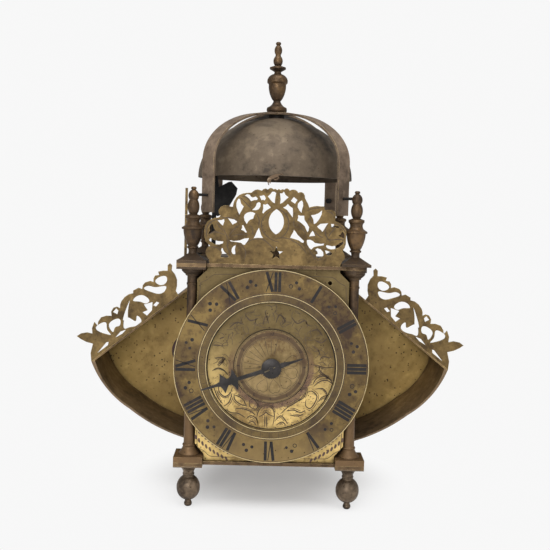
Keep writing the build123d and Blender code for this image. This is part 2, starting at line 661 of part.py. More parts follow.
wingFretHoles = [
    [(-56.3, 74), (-59.8, 77.5), (-66.3, 78), (-66.8, 74.5), (-63.8, 71), (-60.3, 70.5)],
    [(-46.8, 68), (-50.8, 69.5), (-56.8, 68.5), (-66.3, 69), (-64.8, 65), (-59.3, 62.5), (-52.8, 64)],
    [(-36.8, 56.5), (-40.3, 60), (-44.8, 61), (-49.3, 59), (-51.3, 56), (-48.3, 53.5), (-42.8, 55)],
    [(-27.8, 38), (-29.8, 46), (-33.8, 56), (-32.3, 45.5), (-29.3, 37.5)],
    [(-28.3, 33.5), (-36.8, 38.5), (-39.3, 37.5), (-40.3, 42), (-44.3, 39), (-38.3, 32.5), (-32.3, 31)],
    [(-6.3, 33.5), (-13.3, 34.5), (-14.3, 28.5), (-17.3, 24.5), (-12.3, 25)],
    [(-15.3, 32), (-18.8, 37.5), (-25.3, 38.5), (-24.3, 32.5), (-21.3, 31.5), (-19.3, 27)]]
wingFretCuts = [
    [(-45.3, 45.5), (-49.8, 47.5), (-46.3, 52.5), (-54.3, 55), (-53.8, 47.5), (-49.3, 42.5)],
    [(-21.3, 22), (-25.8, 27.5), (-30.8, 29.5), (-27.3, 25.5)], [(-5.3, 7.5), (-13.3, 17.5), (-15.3, 18), (-14.8, 15)],
    [(-18.8, 45), (-21.8, 48.5), (-23.8, 46.5), (-22.8, 43)], [(-54.8, 52), (-57.8, 55.5), (-60.3, 54.5), (-57.3, 51)]]


def wing_fret():
    """The pierced fret along the slope's front edge, drawn outward from the wing's tip."""
    def placed(points):
        return [(x + wingTip[0], z + wingTip[1]) for x, z in points]

    face = shape(*placed(wingFretEdge))
    for hole in wingFretHoles:
        face -= smooth(*placed(hole))
    for hole in wingFretCuts:
        face -= shape(*placed(hole))
    beyond = 9.0
    face -= shape(wingTip, wingPeak, (wingWall, bottomTop), (wingTip[0] + beyond, bottomTop),
                  (wingTip[0] + beyond, wingTip[1] - beyond * wingSlope))
    return upright(face, -wingHalf, -wingHalf + sheet)


# --- bell
def quarter(radius, high, low):
    """A quarter of an ellipse, standing on the level called low."""
    return Pos(0, low) * Ellipse(radius, high) & box_at(0, radius, low, low + high)


def bell():
    face = quarter(bellRadius, bellHeight, bellRim) - quarter(bellRadius - bellWall, bellHeight - bellWall, bellRim)
    return turned(face) - level(Circle(boltRadius + fit), bellRim, bellCrown + 1)


def strap_hoop():
    low = topTop + strapFoot
    outer = quarter(strapReach, strapRise, spring) + box_at(0, strapReach, low, spring)
    thin = strapReach - strapThick
    inner = quarter(thin, strapRise - strapThick, spring) + box_at(0, thin, low - 1, spring)
    half = outer - inner
    return extrude(Plane.XZ * (half + mirror(half, Plane.YZ)), strapWide / 2, both=True)


def bell_strap():
    """Two hoops crossed over the bell, with a flat pad under the top finial."""
    solid = Rot(0, 0, diagonal) * strap_hoop() + Rot(0, 0, -diagonal) * strap_hoop()
    solid += level(Circle(padRadius), padUnder, strapTop)
    for sideX, sideY in corners.values():
        solid -= pin_bore(strapPinRadius + fit, strapReach - 5, strapReach + 5, sideX, sideY)
    return solid - level(Circle(boltRadius + fit), strapTop - 9, strapTop + 1)


def strap_pins():
    pins = []
    for sideX, sideY in corners.values():
        pin = pin_bore(strapPinRadius, strapReach - strapThick - 2, finialReach - 1.0, sideX, sideY)
        head = pin_bore(2.4, strapReach - strapThick - 3.6, strapReach - strapThick, sideX, sideY)
        pins.append(pin + head)
    return Compound(children=pins)


def bell_finial():
    """The turned top finial and the bolt that carries the bell."""
    z = strapTop
    face = shape(
        (0, z), (8.2, z), ((9.3, z + 2.4), (8.8, z + 5.0)), ((5.0, z + 7.6), (3.2, z + 11.0)), (4.4, z + 12.2),
        ((7.0, z + 18.0), (8.0, z + 26.0)), (9.4, z + 27.6), (9.4, z + 30.0), ((7.2, z + 33.6), (3.4, z + 35.4)),
        (3.0, z + 37.4), (7.4, z + 40.0), (7.4, z + 41.4), (2.8, z + 43.0), ((4.3, z + 47.2), (2.6, z + 51.6)),
        (2.4, z + 53.0), ((3.3, z + 58.6), (1.5, z + 61.6)), ((2.4, z + 63.2), (0.9, z + 64.4)), (0, z + 64.4))
    return turned(face) + level(Circle(boltRadius), bellCrown - bellWall - nutHigh - 2, z)


def bell_nuts():
    """A washer between the bell and the strap, and the nut inside the bell."""
    bore = Circle(boltRadius + fit)
    washer = level(Circle(washerRadius) - bore, bellCrown, padUnder)
    top = bellCrown - bellWall - 0.4
    nut = level(RegularPolygon(nutRadius, 6) - bore, top - nutHigh, top)
    return Compound(children=[washer, nut])


# --- wheelwork
def gear(teeth, module, first, thin):
    """A gear face with a tooth at the first angle; thin is the share of the pitch that a tooth takes."""
    pitch = module * teeth / 2
    step = 360 / teeth
    root = pitch - 1.25 * module
    tip = pitch + (0.8 if teeth > 12 else 0.6) * module
    points = []
    for tooth in range(teeth):
        middle = first + tooth * step
        for reach, share in ((root, -0.7), (tip, -0.28), (tip, 0.28), (root, 0.7)):
            angle = radians(middle + share * thin * step)
            points.append((reach * cos(angle), reach * sin(angle)))
    return shape(*points)


def crossings(outer, hub, arms, wide):
    """The openings between a wheel's arms."""
    spokes = Circle(hub)
    for turn in range(arms):
        spokes += Rot(0, 0, turn * 180 / arms) * Rectangle(2 * outer, wide)
    return Circle(outer) - spokes


def wheel(z, front, teeth, module, first=90):
    rim = gear(teeth, module, first, 0.38) - crossings(module * teeth / 2 - 1.25 * module - 2.6, 5.0, 2, 4.0)
    return upright(Pos(0, z) * rim, front, front + wheelThick)


def pinion(z, front, back, leaves, module, gap):
    """A pinion with the middle of a gap between two leaves at the angle called gap."""
    return upright(Pos(0, z) * gear(leaves, module, gap + 180 / leaves, 0.3), front, back)


def driven(z, wheelFront, gearing):
    """The pinion at z that the wheel below it drives, a little wider than that wheel."""
    teeth, leaves, module = gearing
    return pinion(z, wheelFront - pinionOver, wheelFront + wheelThick + pinionOver, leaves, module, -90)


def arbor(x, z, frontBar, backBar):
    """An arbor between two bars, with a pivot in each."""
    start = frontBar + barThick + endShake
    end = backBar - endShake
    body = upright(round_at(x, z, arborRadius), start, end)
    return body + upright(round_at(x, z, pivotRadius), frontBar + pivotEnd, backBar + barThick - pivotEnd)


def centre_distance(gearing):
    teeth, leaves, module = gearing
    return module * (teeth + leaves) / 2


goingGears = [(*teeth, module) for teeth, module in zip(goingTeeth, goingModules)]
strikeGears = [(*teeth, module) for teeth, module in zip(strikeTeeth, strikeModules)]
secondZ = greatZ + centre_distance(goingGears[0])
contrateZ = secondZ + centre_distance(goingGears[1])
contrateRadius = goingGears[2][2] * goingGears[2][0] / 2
crownPinionZ = contrateZ + contrateRadius
hoopZ = greatZ + centre_distance(strikeGears[0])
warningZ = hoopZ + centre_distance(strikeGears[1])
flyZ = warningZ + centre_distance(strikeGears[2])
countZ = greatZ + centre_distance((*countTeeth, countModule))
dialModule = 2 * (dialZ - greatZ) / sum(dialTeeth)
dialWheelFront = goingFrontY - dialWheelGap
starFront = dialWheelFront - 4.0
dialPinionFront = starFront + 2.5
potenceZ = crownPinionZ - potenceDrop
countFront = strikeBackY + barThick + 1.5
goingIn = goingFrontY + barThick
strikeIn = strikeFrontY + barThick


def pulley(z, front, radius):
    """The grooved pulley that the driving rope runs on."""
    back = front + pulleyWide
    lips = upright(round_at(0, z, radius), front, front + 1.6) + upright(round_at(0, z, radius), back - 1.6, back)
    return lips + upright(round_at(0, z, radius - pulleyLip), front, back)


def going_great_wheel():
    teeth, leaves, module = goingGears[0]
    front = goingIn + goingGreatIn
    solid = wheel(greatZ, front, teeth, module) + arbor(0, greatZ, goingFrontY, goingBackY)
    solid += pulley(greatZ, goingIn + goingPulleyIn, goingPulleyRadius)
    solid += upright(round_at(0, greatZ, 4.0), goingIn + goingPulleyIn + pulleyWide, front)
    solid += upright(round_at(0, greatZ, pivotRadius), dialPinionFront, goingIn)
    return solid + pinion(greatZ, dialPinionFront, goingFrontY - endShake, dialTeeth[1], dialModule, 90)


def going_second_wheel():
    teeth, leaves, module = goingGears[1]
    solid = wheel(secondZ, goingIn + goingSecondIn, teeth, module) + arbor(0, secondZ, goingFrontY, goingBackY)
    return solid + driven(secondZ, goingIn + goingGreatIn, goingGears[0])


def contrate_wheel():
    teeth, leaves, module = goingGears[2]
    toothTip = crownY - module * leaves / 2 + 0.8 * module
    toothRoot = crownY - module * leaves / 2 - 1.25 * module
    back = toothRoot - 5.0
    outer = contrateRadius + 1.0
    band = Circle(outer) - Circle(outer - 2.0)
    solid = upright(Pos(0, contrateZ) * (Circle(outer) - crossings(outer - 2.0, 5.0, 2, 4.0)), back, back + 1.5)
    solid += upright(Pos(0, contrateZ) * band, back, toothRoot)
    wedge = []
    for tooth in range(teeth):
        angle = 90 + tooth * 360 / teeth
        wedge.append(Pos(0, contrateZ) * Rot(0, 0, angle) * Pos(outer - 1.0, 0) * Rectangle(2.0, 1.0))
    solid += upright(Sketch() + wedge, toothRoot, toothTip)
    solid += arbor(0, contrateZ, goingFrontY, goingBackY)
    return solid + driven(contrateZ, goingIn + goingSecondIn, goingGears[1])


def crown_wheel():
    """The crown wheel over the top plate's hole, with its upright arbor and pinion."""
    teeth, leaves, module = goingGears[2]
    low = crownTop - crownDeep
    outer = crownRadius + crownBand / 2
    inner = crownRadius - crownBand / 2
    gullet = crownTop - 4.0
    solid = level(Circle(outer) - crossings(inner, 3.0, 2, 3.0), low, low + 1.4)
    solid += level(Circle(outer) - Circle(inner), low, gullet)
    tooth = Plane.YZ * shape((-1.3, gullet - 0.2), (1.3, gullet - 0.2), (0.5, crownTop), (0.1, crownTop))
    for turn in range(crownTeeth):
        solid += Rot(0, 0, 90 + 360 / crownTeeth * (turn + 0.25)) * Pos(inner, 0, 0) * extrude(tooth, crownBand)
    shoulder = potenceZ + potenceThick + endShake
    solid += level(Circle(crownArbor), shoulder, low)
    solid += level(Circle(pivotRadius), potenceZ + pivotEnd, shoulder)
    leafFace = gear(leaves, module, -90 + 180 / leaves, 0.3)
    solid += level(leafFace, crownPinionZ - 4.0, crownPinionZ + 4.0)
    return Pos(0, crownY, 0) * solid


def dial_wheel():
    """The hour wheel with its star and the pipe that carries the hand, turning on the dial stud."""
    solid = wheel(dialZ, dialWheelFront, dialTeeth[0], dialModule, -90)
    solid += upright(round_at(0, dialZ, pipeRadius), handBack, dialWheelFront + wheelThick)
    points = []
    for point in range(24):
        reach = starRadius if point % 2 == 0 else starRadius - 3.5
        points.append((reach * cos(radians(15 * point)), dialZ + reach * sin(radians(15 * point))))
    solid += upright(shape(*points), starFront, starFront + starThick)
    return solid - upright(round_at(0, dialZ, studRadius + fit), handBack - 1, dialWheelFront + 9)


def strike_great_wheel():
    """The striking great wheel, with the pins that lift the hammer's tail."""
    teeth, leaves, module = strikeGears[0]
    front = strikeIn + strikeGreatIn
    solid = wheel(greatZ, front, teeth, module) + arbor(0, greatZ, strikeFrontY, strikeBackY)
    solid += pulley(greatZ, strikeIn + strikePulleyIn, strikePulleyRadius)
    solid += upright(round_at(0, greatZ, 4.0), front, strikeIn + strikePulleyIn)
    for pin in range(pinCount):
        angle = radians((pin + 0.5) * 360 / pinCount)
        spot = round_at(pinCircle * cos(angle), greatZ + pinCircle * sin(angle), pinRadius)
        solid += upright(spot, front + wheelThick / 2, tailY + tailWide)
    end = countFront + 2.0
    solid += upright(round_at(0, greatZ, pivotRadius), strikeBackY, end)
    return solid + pinion(greatZ, strikeBackY + barThick + endShake, end, countTeeth[1], countModule, 90)


def hoop_wheel():
    teeth, leaves, module = strikeGears[1]
    solid = wheel(hoopZ, strikeIn + hoopIn, teeth, module) + arbor(0, hoopZ, strikeFrontY, strikeBackY)
    return solid + driven(hoopZ, strikeIn + strikeGreatIn, strikeGears[0])


def warning_wheel():
    teeth, leaves, module = strikeGears[2]
    solid = wheel(warningZ, strikeIn + warningIn, teeth, module) + arbor(0, warningZ, strikeFrontY, strikeBackY)
    return solid + driven(warningZ, strikeIn + hoopIn, strikeGears[1])


def fly():
    """The two-bladed fan that steadies the striking."""
    solid = arbor(0, flyZ, strikeFrontY, strikeBackY) + driven(flyZ, strikeIn + warningIn, strikeGears[2])
    fan = box_at(-fanReach, fanReach, flyZ - 0.5, flyZ + 0.5)
    return solid + upright(fan, strikeIn + fanIn, strikeIn + fanIn + fanLong)


def count_wheel():
    solid = wheel(countZ, countFront, countTeeth[0], countModule, -90)
    solid += upright(round_at(0, countZ, 5), countFront, countFront + 3)
    return solid - upright(round_at(0, countZ, studRadius + fit), countFront - 1, countFront + 5)


# --- bars
def movement_bar(front, pivots, arms, studs):
    """An upright bar between the plates, with pivot holes, side arms and any studs."""
    face = box_at(-barWide / 2, barWide / 2, bottomTop, topUnder)
    for x, z in arms:
        face += strip((0, z), (x, z), armWide)
    for x, z in pivots:
        face -= round_at(x, z, pivotRadius + fit)
    solid = upright(face, front, front + barThick)
    for x, z, start, end in studs:
        solid += upright(round_at(x, z, studRadius), start, end)
    return solid


def front_bar():
    pivots = [(0, greatZ), (0, secondZ), (0, contrateZ), (liftX, liftZ)]
    return movement_bar(goingFrontY, pivots, [(liftX, liftZ)], [(0, dialZ, handBack + endShake, goingFrontY + barThick)])


def going_back_bar():
    return movement_bar(goingBackY, [(0, greatZ), (0, secondZ), (0, contrateZ)], [], [])


def strike_front_bar():
    pivots = [(0, greatZ), (0, hoopZ), (0, warningZ), (0, flyZ), (hammerX, hammerZ)]
    return movement_bar(strikeFrontY, pivots, [(hammerX, hammerZ)], [])


def strike_back_bar():
    pivots = [(0, greatZ), (0, hoopZ), (0, warningZ), (0, flyZ), (hammerX, hammerZ), (liftX, liftZ)]
    arms = [(hammerX, hammerZ), (liftX, liftZ)]
    return movement_bar(strikeBackY, pivots, arms, [(0, countZ, strikeBackY, countFront + 4)])


def crown_potences():
    """The two arms on the going train's back bar that hold the crown wheel's upright arbor."""
    reach = box_at(-potenceHalf, potenceHalf, crownY - potenceHalf, goingBackY)
    low = level(reach - round_at(0, crownY, pivotRadius + fit), potenceZ, potenceZ + potenceThick)
    upper = crownTop - crownDeep - 7.0
    high = level(reach - round_at(0, crownY, crownArbor + fit), upper, upper + potenceThick)
    return Compound(children=[low, high])


def verge_cocks():
    """The front and back cocks on the top plate that carry the verge."""
    cocks = []
    for face, foot in ((vergeFrontCock, -1), (vergeBackCock, 1)):
        upstand = box_at(-cockHalf, cockHalf, topTop, vergeZ) + round_at(0, vergeZ, cockHalf)
        cock = upright(upstand - round_at(0, vergeZ, vergePivot + fit), face, face + cockThick)
        outer = (face - cockFoot, face) if foot < 0 else (face + cockThick, face + cockThick + cockFoot)
        cocks.append(cock + level(box_at(-cockHalf, cockHalf, *outer), topTop, topTop + cockThick))
    return Compound(children=cocks)


# --- verge, pendulum, hammer and lifting piece
def verge():
    start = vergeFrontCock + cockThick + endShake
    end = vergeBackCock - endShake
    solid = upright(round_at(0, vergeZ, vergeRadius), start, end)
    solid += upright(round_at(0, vergeZ, vergePivot), vergeFrontCock + pivotEnd, vergeBackCock + cockThick - pivotEnd)
    for y, lean in ((crownY - crownRadius, -palletSpread), (crownY + crownRadius, palletSpread)):
        flag = Pos(0, vergeZ) * Rot(0, 0, lean) * box_at(-0.4, 0.4, -palletLength, 0)
        solid += upright(flag, y - 1.4, y + 1.4)
    return solid + upright(round_at(0, vergeZ, collarRadius), -collarRadius, collarRadius)


def anchor_pendulum():
    """The rod and the anchor bob, whose arms curve round the verge and whose blades swing into the wings."""
    low = vergeZ - pendulumLength
    outer = round_at(0, vergeZ, pendulumLength + armDeep / 2) - round_at(0, vergeZ, pendulumLength - armDeep / 2)
    reach = pendulumLength * 1.2
    spread = radians(bladeAngle)
    wedge = shape((0, vergeZ), (-reach * sin(spread), vergeZ - reach * cos(spread)), (0, vergeZ - reach * 1.4),
                  (reach * sin(spread), vergeZ - reach * cos(spread)))
    face = outer & wedge
    for side in (-1, 1):
        spot = (side * pendulumLength * sin(spread), vergeZ - pendulumLength * cos(spread))
        face += round_at(*spot, bladeRadius)
    face += round_at(0, low, armDeep)
    solid = upright(face, -bobThick / 2, bobThick / 2)
    rod = level(Circle(rodRadius), low, vergeZ)
    return solid + rod - upright(round_at(0, vergeZ, collarRadius), -bobThick, bobThick)


def short_of(x, z, centreZ, reach):
    """The point on the way from a pivot to a wheel's centre that stops at the given reach from that centre."""
    share = reach / hypot(x, z - centreZ)
    return x * share, centreZ + (z - centreZ) * share


def hammer():
    """The hammer on its arbor: a stem up through the top plate, a black head, a tail and a spring lug."""
    head = Pos(hammerX, bellRim) * shape(
        (-4.6, -27.3), (-1.0, -33.5), (3.6, -35.6), (9.2, -33.0), (13.2, -27.6), (20.6, -14.6), (21.8, -8.4),
        (16.2, -2.4), (13.4, -2.8), (4.0, -8.1), (2.6, 2.5), (-3.0, 2.5), (-4.6, -14.5))
    solid = upright(head, hammerY - hammerThick / 2, hammerY + hammerThick / 2)
    stem = strip((hammerX, hammerZ), (hammerX, bellRim - 24.5), hammerStem)
    solid += upright(stem, hammerY - hammerStem / 2, hammerY + hammerStem / 2)
    solid += arbor(hammerX, hammerZ, strikeFrontY, strikeBackY)
    stop = short_of(hammerX, hammerZ, greatZ, pinCircle + pinRadius + tailWide / 2 + hammerClear)
    solid += upright(strip((hammerX, hammerZ), stop, tailWide), tailY - tailWide / 2, tailY + tailWide / 2)
    lug = strip((hammerX, hammerZ), (hammerX, hammerZ - hammerLug), hammerStem)
    return solid + upright(lug, springY - 2, springY + 2)


def hammer_springs():
    """The hammer's leaf spring on the bottom plate and its stop on the top plate."""
    right = hammerX - hammerStem / 2 - (hammerLug + 2) * sin(radians(hammerLift)) - hammerClear
    leaf = upright(box_at(right - 1.0, right, bottomTop, hammerZ - 7), springY - 3, springY + 3)
    leaf += level(box_at(right - 1.0, right + 8, springY - 3, springY + 3), bottomTop, bottomTop + sheet)
    travel = (topTop + 6 - hammerZ) * sin(radians(hammerFall))
    face = hammerX - hammerStem / 2 - travel - hammerClear
    stop = level(box_at(face - 3, face, hammerY - 4, hammerY + 4), topTop, topTop + 6)
    return Compound(children=[leaf, stop])


def lever(targetZ, reach, front, back):
    """An arm of the lifting piece that stops at the given reach from a wheel's centre."""
    return upright(strip((liftX, liftZ), short_of(liftX, liftZ, targetZ, reach), leverWide), front, back)


def lifting_piece():
    """The arbor that the star lifts, with its arm behind the dial and its blade over the count wheel."""
    back = countFront + 1.5
    solid = upright(round_at(liftX, liftZ, arborRadius), goingIn + endShake, strikeBackY - endShake)
    solid += upright(round_at(liftX, liftZ, pivotRadius), starFront, back)
    solid += lever(dialZ, starRadius + 3.0, starFront, starFront + starThick)
    return solid + lever(countZ, countTeeth[0] * countModule / 2 + 4.0, back - 1.5, back)


# --- every piece
os.makedirs("parts", exist_ok=True)
save("bottom_plate", bottom_plate())
save("top_plate", top_plate())
for name, (sideX, sideY) in corners.items():
    spot = Pos(sideX * pillarX, sideY * pillarY, 0)
    save(f"pillar_{name}", spot * pillar(sideX))
    save(f"foot_{name}", spot * foot())
    bore = pin_bore(strapPinRadius + fit, finialReach - 6, finialReach - 0.8, sideX, sideY)
    save(f"finial_{name}", spot * finial() - bore)
save("plate_knob", plate_knob())
save("dial_plate", dial_plate())
save("chapter_ring", chapter_ring())
save("alarm_disc", alarm_disc())
save("hour_hand", hour_hand())
save("hand_pin", hand_pin())
save("front_fret", front_fret())
save("side_fret", side_fret())
save("fret_screws", fret_screws())
save("back_plate", back_plate())
wingParts = {
    "door": door_plate, "wing_back": wing_back, "wing_top": wing_top, "wing_rim": wing_rim, "wing_fret": wing_fret}
for name, build in wingParts.items():
    save(f"right_{name}", build())
    save(f"left_{name}", mirror(build(), Plane.YZ))
save("bell", bell())
save("bell_strap", bell_strap())
save("strap_pins", strap_pins())
save("bell_finial", bell_finial())
save("bell_nuts", bell_nuts())
save("front_bar", front_bar())
save("going_back_bar", going_back_bar())
save("strike_front_bar", strike_front_bar())
save("strike_back_bar", strike_back_bar())
save("crown_potences", crown_potences())
save("verge_cocks", verge_cocks())
save("going_great_wheel", going_great_wheel())
save("going_second_wheel", going_second_wheel())
save("contrate_wheel", contrate_wheel())
save("crown_wheel", crown_wheel())
save("dial_wheel", dial_wheel())
save("strike_great_wheel", strike_great_wheel())
save("hoop_wheel", hoop_wheel())
save("warning_wheel", warning_wheel())
save("fly", fly())
save("count_wheel", count_wheel())
save("verge", verge())
save("anchor_pendulum", anchor_pendulum())
save("hammer", hammer())
save("hammer_springs", hammer_springs())
save("lifting_piece", lifting_piece())
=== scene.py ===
import json
import math
import random

import bmesh
import bpy
from mathutils import Matrix, Vector
from mathutils.bvhtree import BVHTree


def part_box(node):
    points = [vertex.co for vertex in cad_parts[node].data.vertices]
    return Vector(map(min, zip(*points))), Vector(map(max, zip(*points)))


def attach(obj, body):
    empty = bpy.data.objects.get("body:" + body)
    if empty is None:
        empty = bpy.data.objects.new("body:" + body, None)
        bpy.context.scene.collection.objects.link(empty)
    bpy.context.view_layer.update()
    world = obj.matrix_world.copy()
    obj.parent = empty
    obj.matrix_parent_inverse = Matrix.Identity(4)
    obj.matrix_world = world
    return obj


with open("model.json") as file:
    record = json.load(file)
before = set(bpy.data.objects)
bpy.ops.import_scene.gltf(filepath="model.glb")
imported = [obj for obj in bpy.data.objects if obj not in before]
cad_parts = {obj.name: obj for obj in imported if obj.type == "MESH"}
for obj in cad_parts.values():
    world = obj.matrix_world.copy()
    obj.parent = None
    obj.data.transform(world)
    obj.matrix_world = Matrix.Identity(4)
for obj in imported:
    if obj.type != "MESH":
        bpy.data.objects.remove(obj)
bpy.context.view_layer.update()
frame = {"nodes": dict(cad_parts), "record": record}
nodes = frame["nodes"]
mm = 0.001
random.seed(7)


# the camera stands before the clock, a little above its middle, and looks slightly down with a small roll
cameraSet = {
    "place": (-11.0, -730.2, 252.6),  # mm
    "yaw": 1.06, "pitch": 4.47, "roll": 1.564,  # degrees
    "lens": 51.17, "sensor": 36.0}


def makeCamera(s):
    yaw, pitch, roll = (math.radians(s[key]) for key in ("yaw", "pitch", "roll"))
    ahead = Vector((math.sin(yaw) * math.cos(pitch), math.cos(yaw) * math.cos(pitch), -math.sin(pitch)))
    side = Vector((math.cos(yaw), -math.sin(yaw), 0))
    above = side.cross(ahead)
    right = math.cos(roll) * side + math.sin(roll) * above
    up = -math.sin(roll) * side + math.cos(roll) * above
    data = bpy.data.cameras.new("camera")
    data.lens = s["lens"]
    data.sensor_width = s["sensor"]
    camera = bpy.data.objects.new("camera", data)
    bpy.context.scene.collection.objects.link(camera)
    camera.matrix_world = Matrix((
        (right.x, up.x, -ahead.x, s["place"][0] * mm), (right.y, up.y, -ahead.y, s["place"][1] * mm),
        (right.z, up.z, -ahead.z, s["place"][2] * mm), (0, 0, 0, 1)))
    bpy.context.scene.camera = camera


makeCamera(cameraSet)
print("camera set")


# node helpers: a node with its settings and inputs, and a mixed colour
def put(tree, kind, inputs=None, **settings):
    node = tree.nodes.new("ShaderNode" + kind)
    for key, value in settings.items():
        setattr(node, key, value)
    for key, value in (inputs or {}).items():
        if isinstance(value, bpy.types.NodeSocket):
            tree.links.new(value, node.inputs[key])
        else:
            node.inputs[key].default_value = value
    return node


def math2(tree, operation, first, second=0.5, clamp=False):
    return put(tree, "Math", {0: first, 1: second}, operation=operation, use_clamp=clamp).outputs[0]


def mixColour(tree, mask, first, second):  # sockets 6 and 7 are the node's two colours
    return put(tree, "Mix", {0: mask, 6: first, 7: second}, data_type="RGBA").outputs[2]


def ramp(tree, value, low, high, start=0.0, end=1.0):
    inputs = {"Value": value, "From Min": low, "From Max": high, "To Min": start, "To Max": end}
    return put(tree, "MapRange", inputs, interpolation_type="SMOOTHSTEP").outputs[0]


def newGroup(name, inputs, outputs):
    tree = bpy.data.node_groups.new(name, "ShaderNodeTree")
    for label, kind, value in inputs:
        socket = tree.interface.new_socket(label, in_out="INPUT", socket_type="NodeSocket" + kind)
        socket.default_value = value
    for label, kind in outputs:
        tree.interface.new_socket(label, in_out="OUTPUT", socket_type="NodeSocket" + kind)
    start = tree.nodes.new("NodeGroupInput").outputs
    end = tree.nodes.new("NodeGroupOutput").inputs
    return tree, start, end


cloudMix = {"fineTimes": 6.1, "broadShare": 0.6, "fineShare": 0.4}
speckSet = {"bend": (0.0012, 0.0012, 0.0012), "rim": 0.40, "core": 0.16}
wearBreaks = (0.3, 0.62)


def cloudyGroup():  # patina: three tones in soft clouds
    tree, start, end = newGroup(
        "cloudyPatina",
        [("Bright", "Color", (0.8, 0.7, 0.4, 1)), ("Middle", "Color", (0.5, 0.4, 0.2, 1)),
         ("Dark", "Color", (0.2, 0.15, 0.1, 1)), ("Size", "Float", 40.0), ("Balance", "Float", 0.5),
         ("Spread", "Float", 0.1)],
        [("Color", "Color"), ("Mask", "Float")])
    place = put(tree, "TexCoord").outputs["Object"]
    broad = put(tree, "TexNoise", {"Vector": place, "Scale": start["Size"], "Detail": 6.0, "Roughness": 0.6,
                                   "Distortion": 0.6}).outputs[0]
    fineScale = math2(tree, "MULTIPLY", start["Size"], cloudMix["fineTimes"])
    fine = put(tree, "TexNoise", {"Vector": place, "Scale": fineScale, "Detail": 5.0,
                                  "Roughness": 0.68}).outputs[0]
    both = math2(tree, "ADD", math2(tree, "MULTIPLY", broad, cloudMix["broadShare"]),
                 math2(tree, "MULTIPLY", fine, cloudMix["fineShare"]))
    shifted = math2(tree, "ADD", both, math2(tree, "SUBTRACT", start["Balance"], 0.5))
    lower = ramp(tree, shifted, math2(tree, "SUBTRACT", 0.5, start["Spread"]), 0.5)
    upper = ramp(tree, shifted, 0.5, math2(tree, "ADD", 0.5, start["Spread"]))
    colour = mixColour(tree, upper, mixColour(tree, lower, start["Dark"], start["Middle"]), start["Bright"])
    tree.links.new(colour, end["Color"])
    tree.links.new(shifted, end["Mask"])
    return tree


def speckGroup():  # small pits and spots
    tree, start, end = newGroup(
        "darkSpecks", [("Size", "Float", 500.0), ("Amount", "Float", 0.3)], [("Mask", "Float")])
    place = put(tree, "TexCoord").outputs["Object"]
    bent = put(tree, "TexNoise", {"Vector": place, "Scale": 700.0, "Detail": 2.0}).outputs["Color"]
    moved = put(tree, "VectorMath", {0: bent, 1: speckSet["bend"]}, operation="MULTIPLY").outputs[0]
    spot = put(tree, "VectorMath", {0: place, 1: moved}, operation="ADD").outputs[0]
    cells = put(tree, "TexVoronoi", {"Vector": spot, "Scale": start["Size"]})
    pick = put(tree, "SeparateColor", {0: cells.outputs["Color"]}).outputs[0]
    chosen = math2(tree, "LESS_THAN", pick, start["Amount"])
    pit = ramp(tree, cells.outputs["Distance"], speckSet["rim"], speckSet["core"])
    tree.links.new(math2(tree, "MULTIPLY", chosen, pit), end["Mask"])
    return tree


def wearGroup():  # rubbed edges
    tree, start, end = newGroup(
        "edgeWear", [("Radius", "Float", 0.0006), ("Strength", "Float", 3.0)], [("Mask", "Float")])
    plain = put(tree, "NewGeometry").outputs["Normal"]
    soft = put(tree, "Bevel", {"Radius": start["Radius"]}, samples=4).outputs[0]
    same = put(tree, "VectorMath", {0: plain, 1: soft}, operation="DOT_PRODUCT").outputs["Value"]
    bend = math2(tree, "MULTIPLY", math2(tree, "SUBTRACT", 1.0, same), start["Strength"], clamp=True)
    place = put(tree, "TexCoord").outputs["Object"]
    broken = put(tree, "TexNoise", {"Vector": place, "Scale": 260.0, "Detail": 3.0}).outputs[0]
    tree.links.new(math2(tree, "MULTIPLY", bend, ramp(tree, broken, *wearBreaks), clamp=True), end["Mask"])
    return tree


def grimeGroup():  # dirt and painted shade in the corners: darker where ambient occlusion finds them hidden
    tree, start, end = newGroup(
        "cornerGrimeAndShade", [("Reach", "Float", 0.004), ("Power", "Float", 1.5)], [("Mask", "Float")])
    clear = put(tree, "AmbientOcclusion", {"Distance": start["Reach"]}, samples=4).outputs["AO"]
    hidden = math2(tree, "SUBTRACT", 1.0, clear)
    tree.links.new(math2(tree, "POWER", hidden, start["Power"], clamp=True), end["Mask"])
    return tree


def grainGroup():  # fine scratches and hammer marks as a height
    tree, start, end = newGroup(
        "metalGrain", [("Fine", "Float", 900.0), ("Broad", "Float", 120.0), ("Blend", "Float", 0.5)],
        [("Height", "Float")])
    place = put(tree, "TexCoord").outputs["Object"]
    fine = put(tree, "TexNoise", {"Vector": place, "Scale": start["Fine"], "Detail": 3.0}).outputs[0]
    broad = put(tree, "TexNoise", {"Vector": place, "Scale": start["Broad"], "Detail": 3.0}).outputs[0]
    tree.links.new(put(tree, "Mix", {0: start["Blend"], 2: fine, 3: broad}).outputs[0], end["Height"])
    return tree


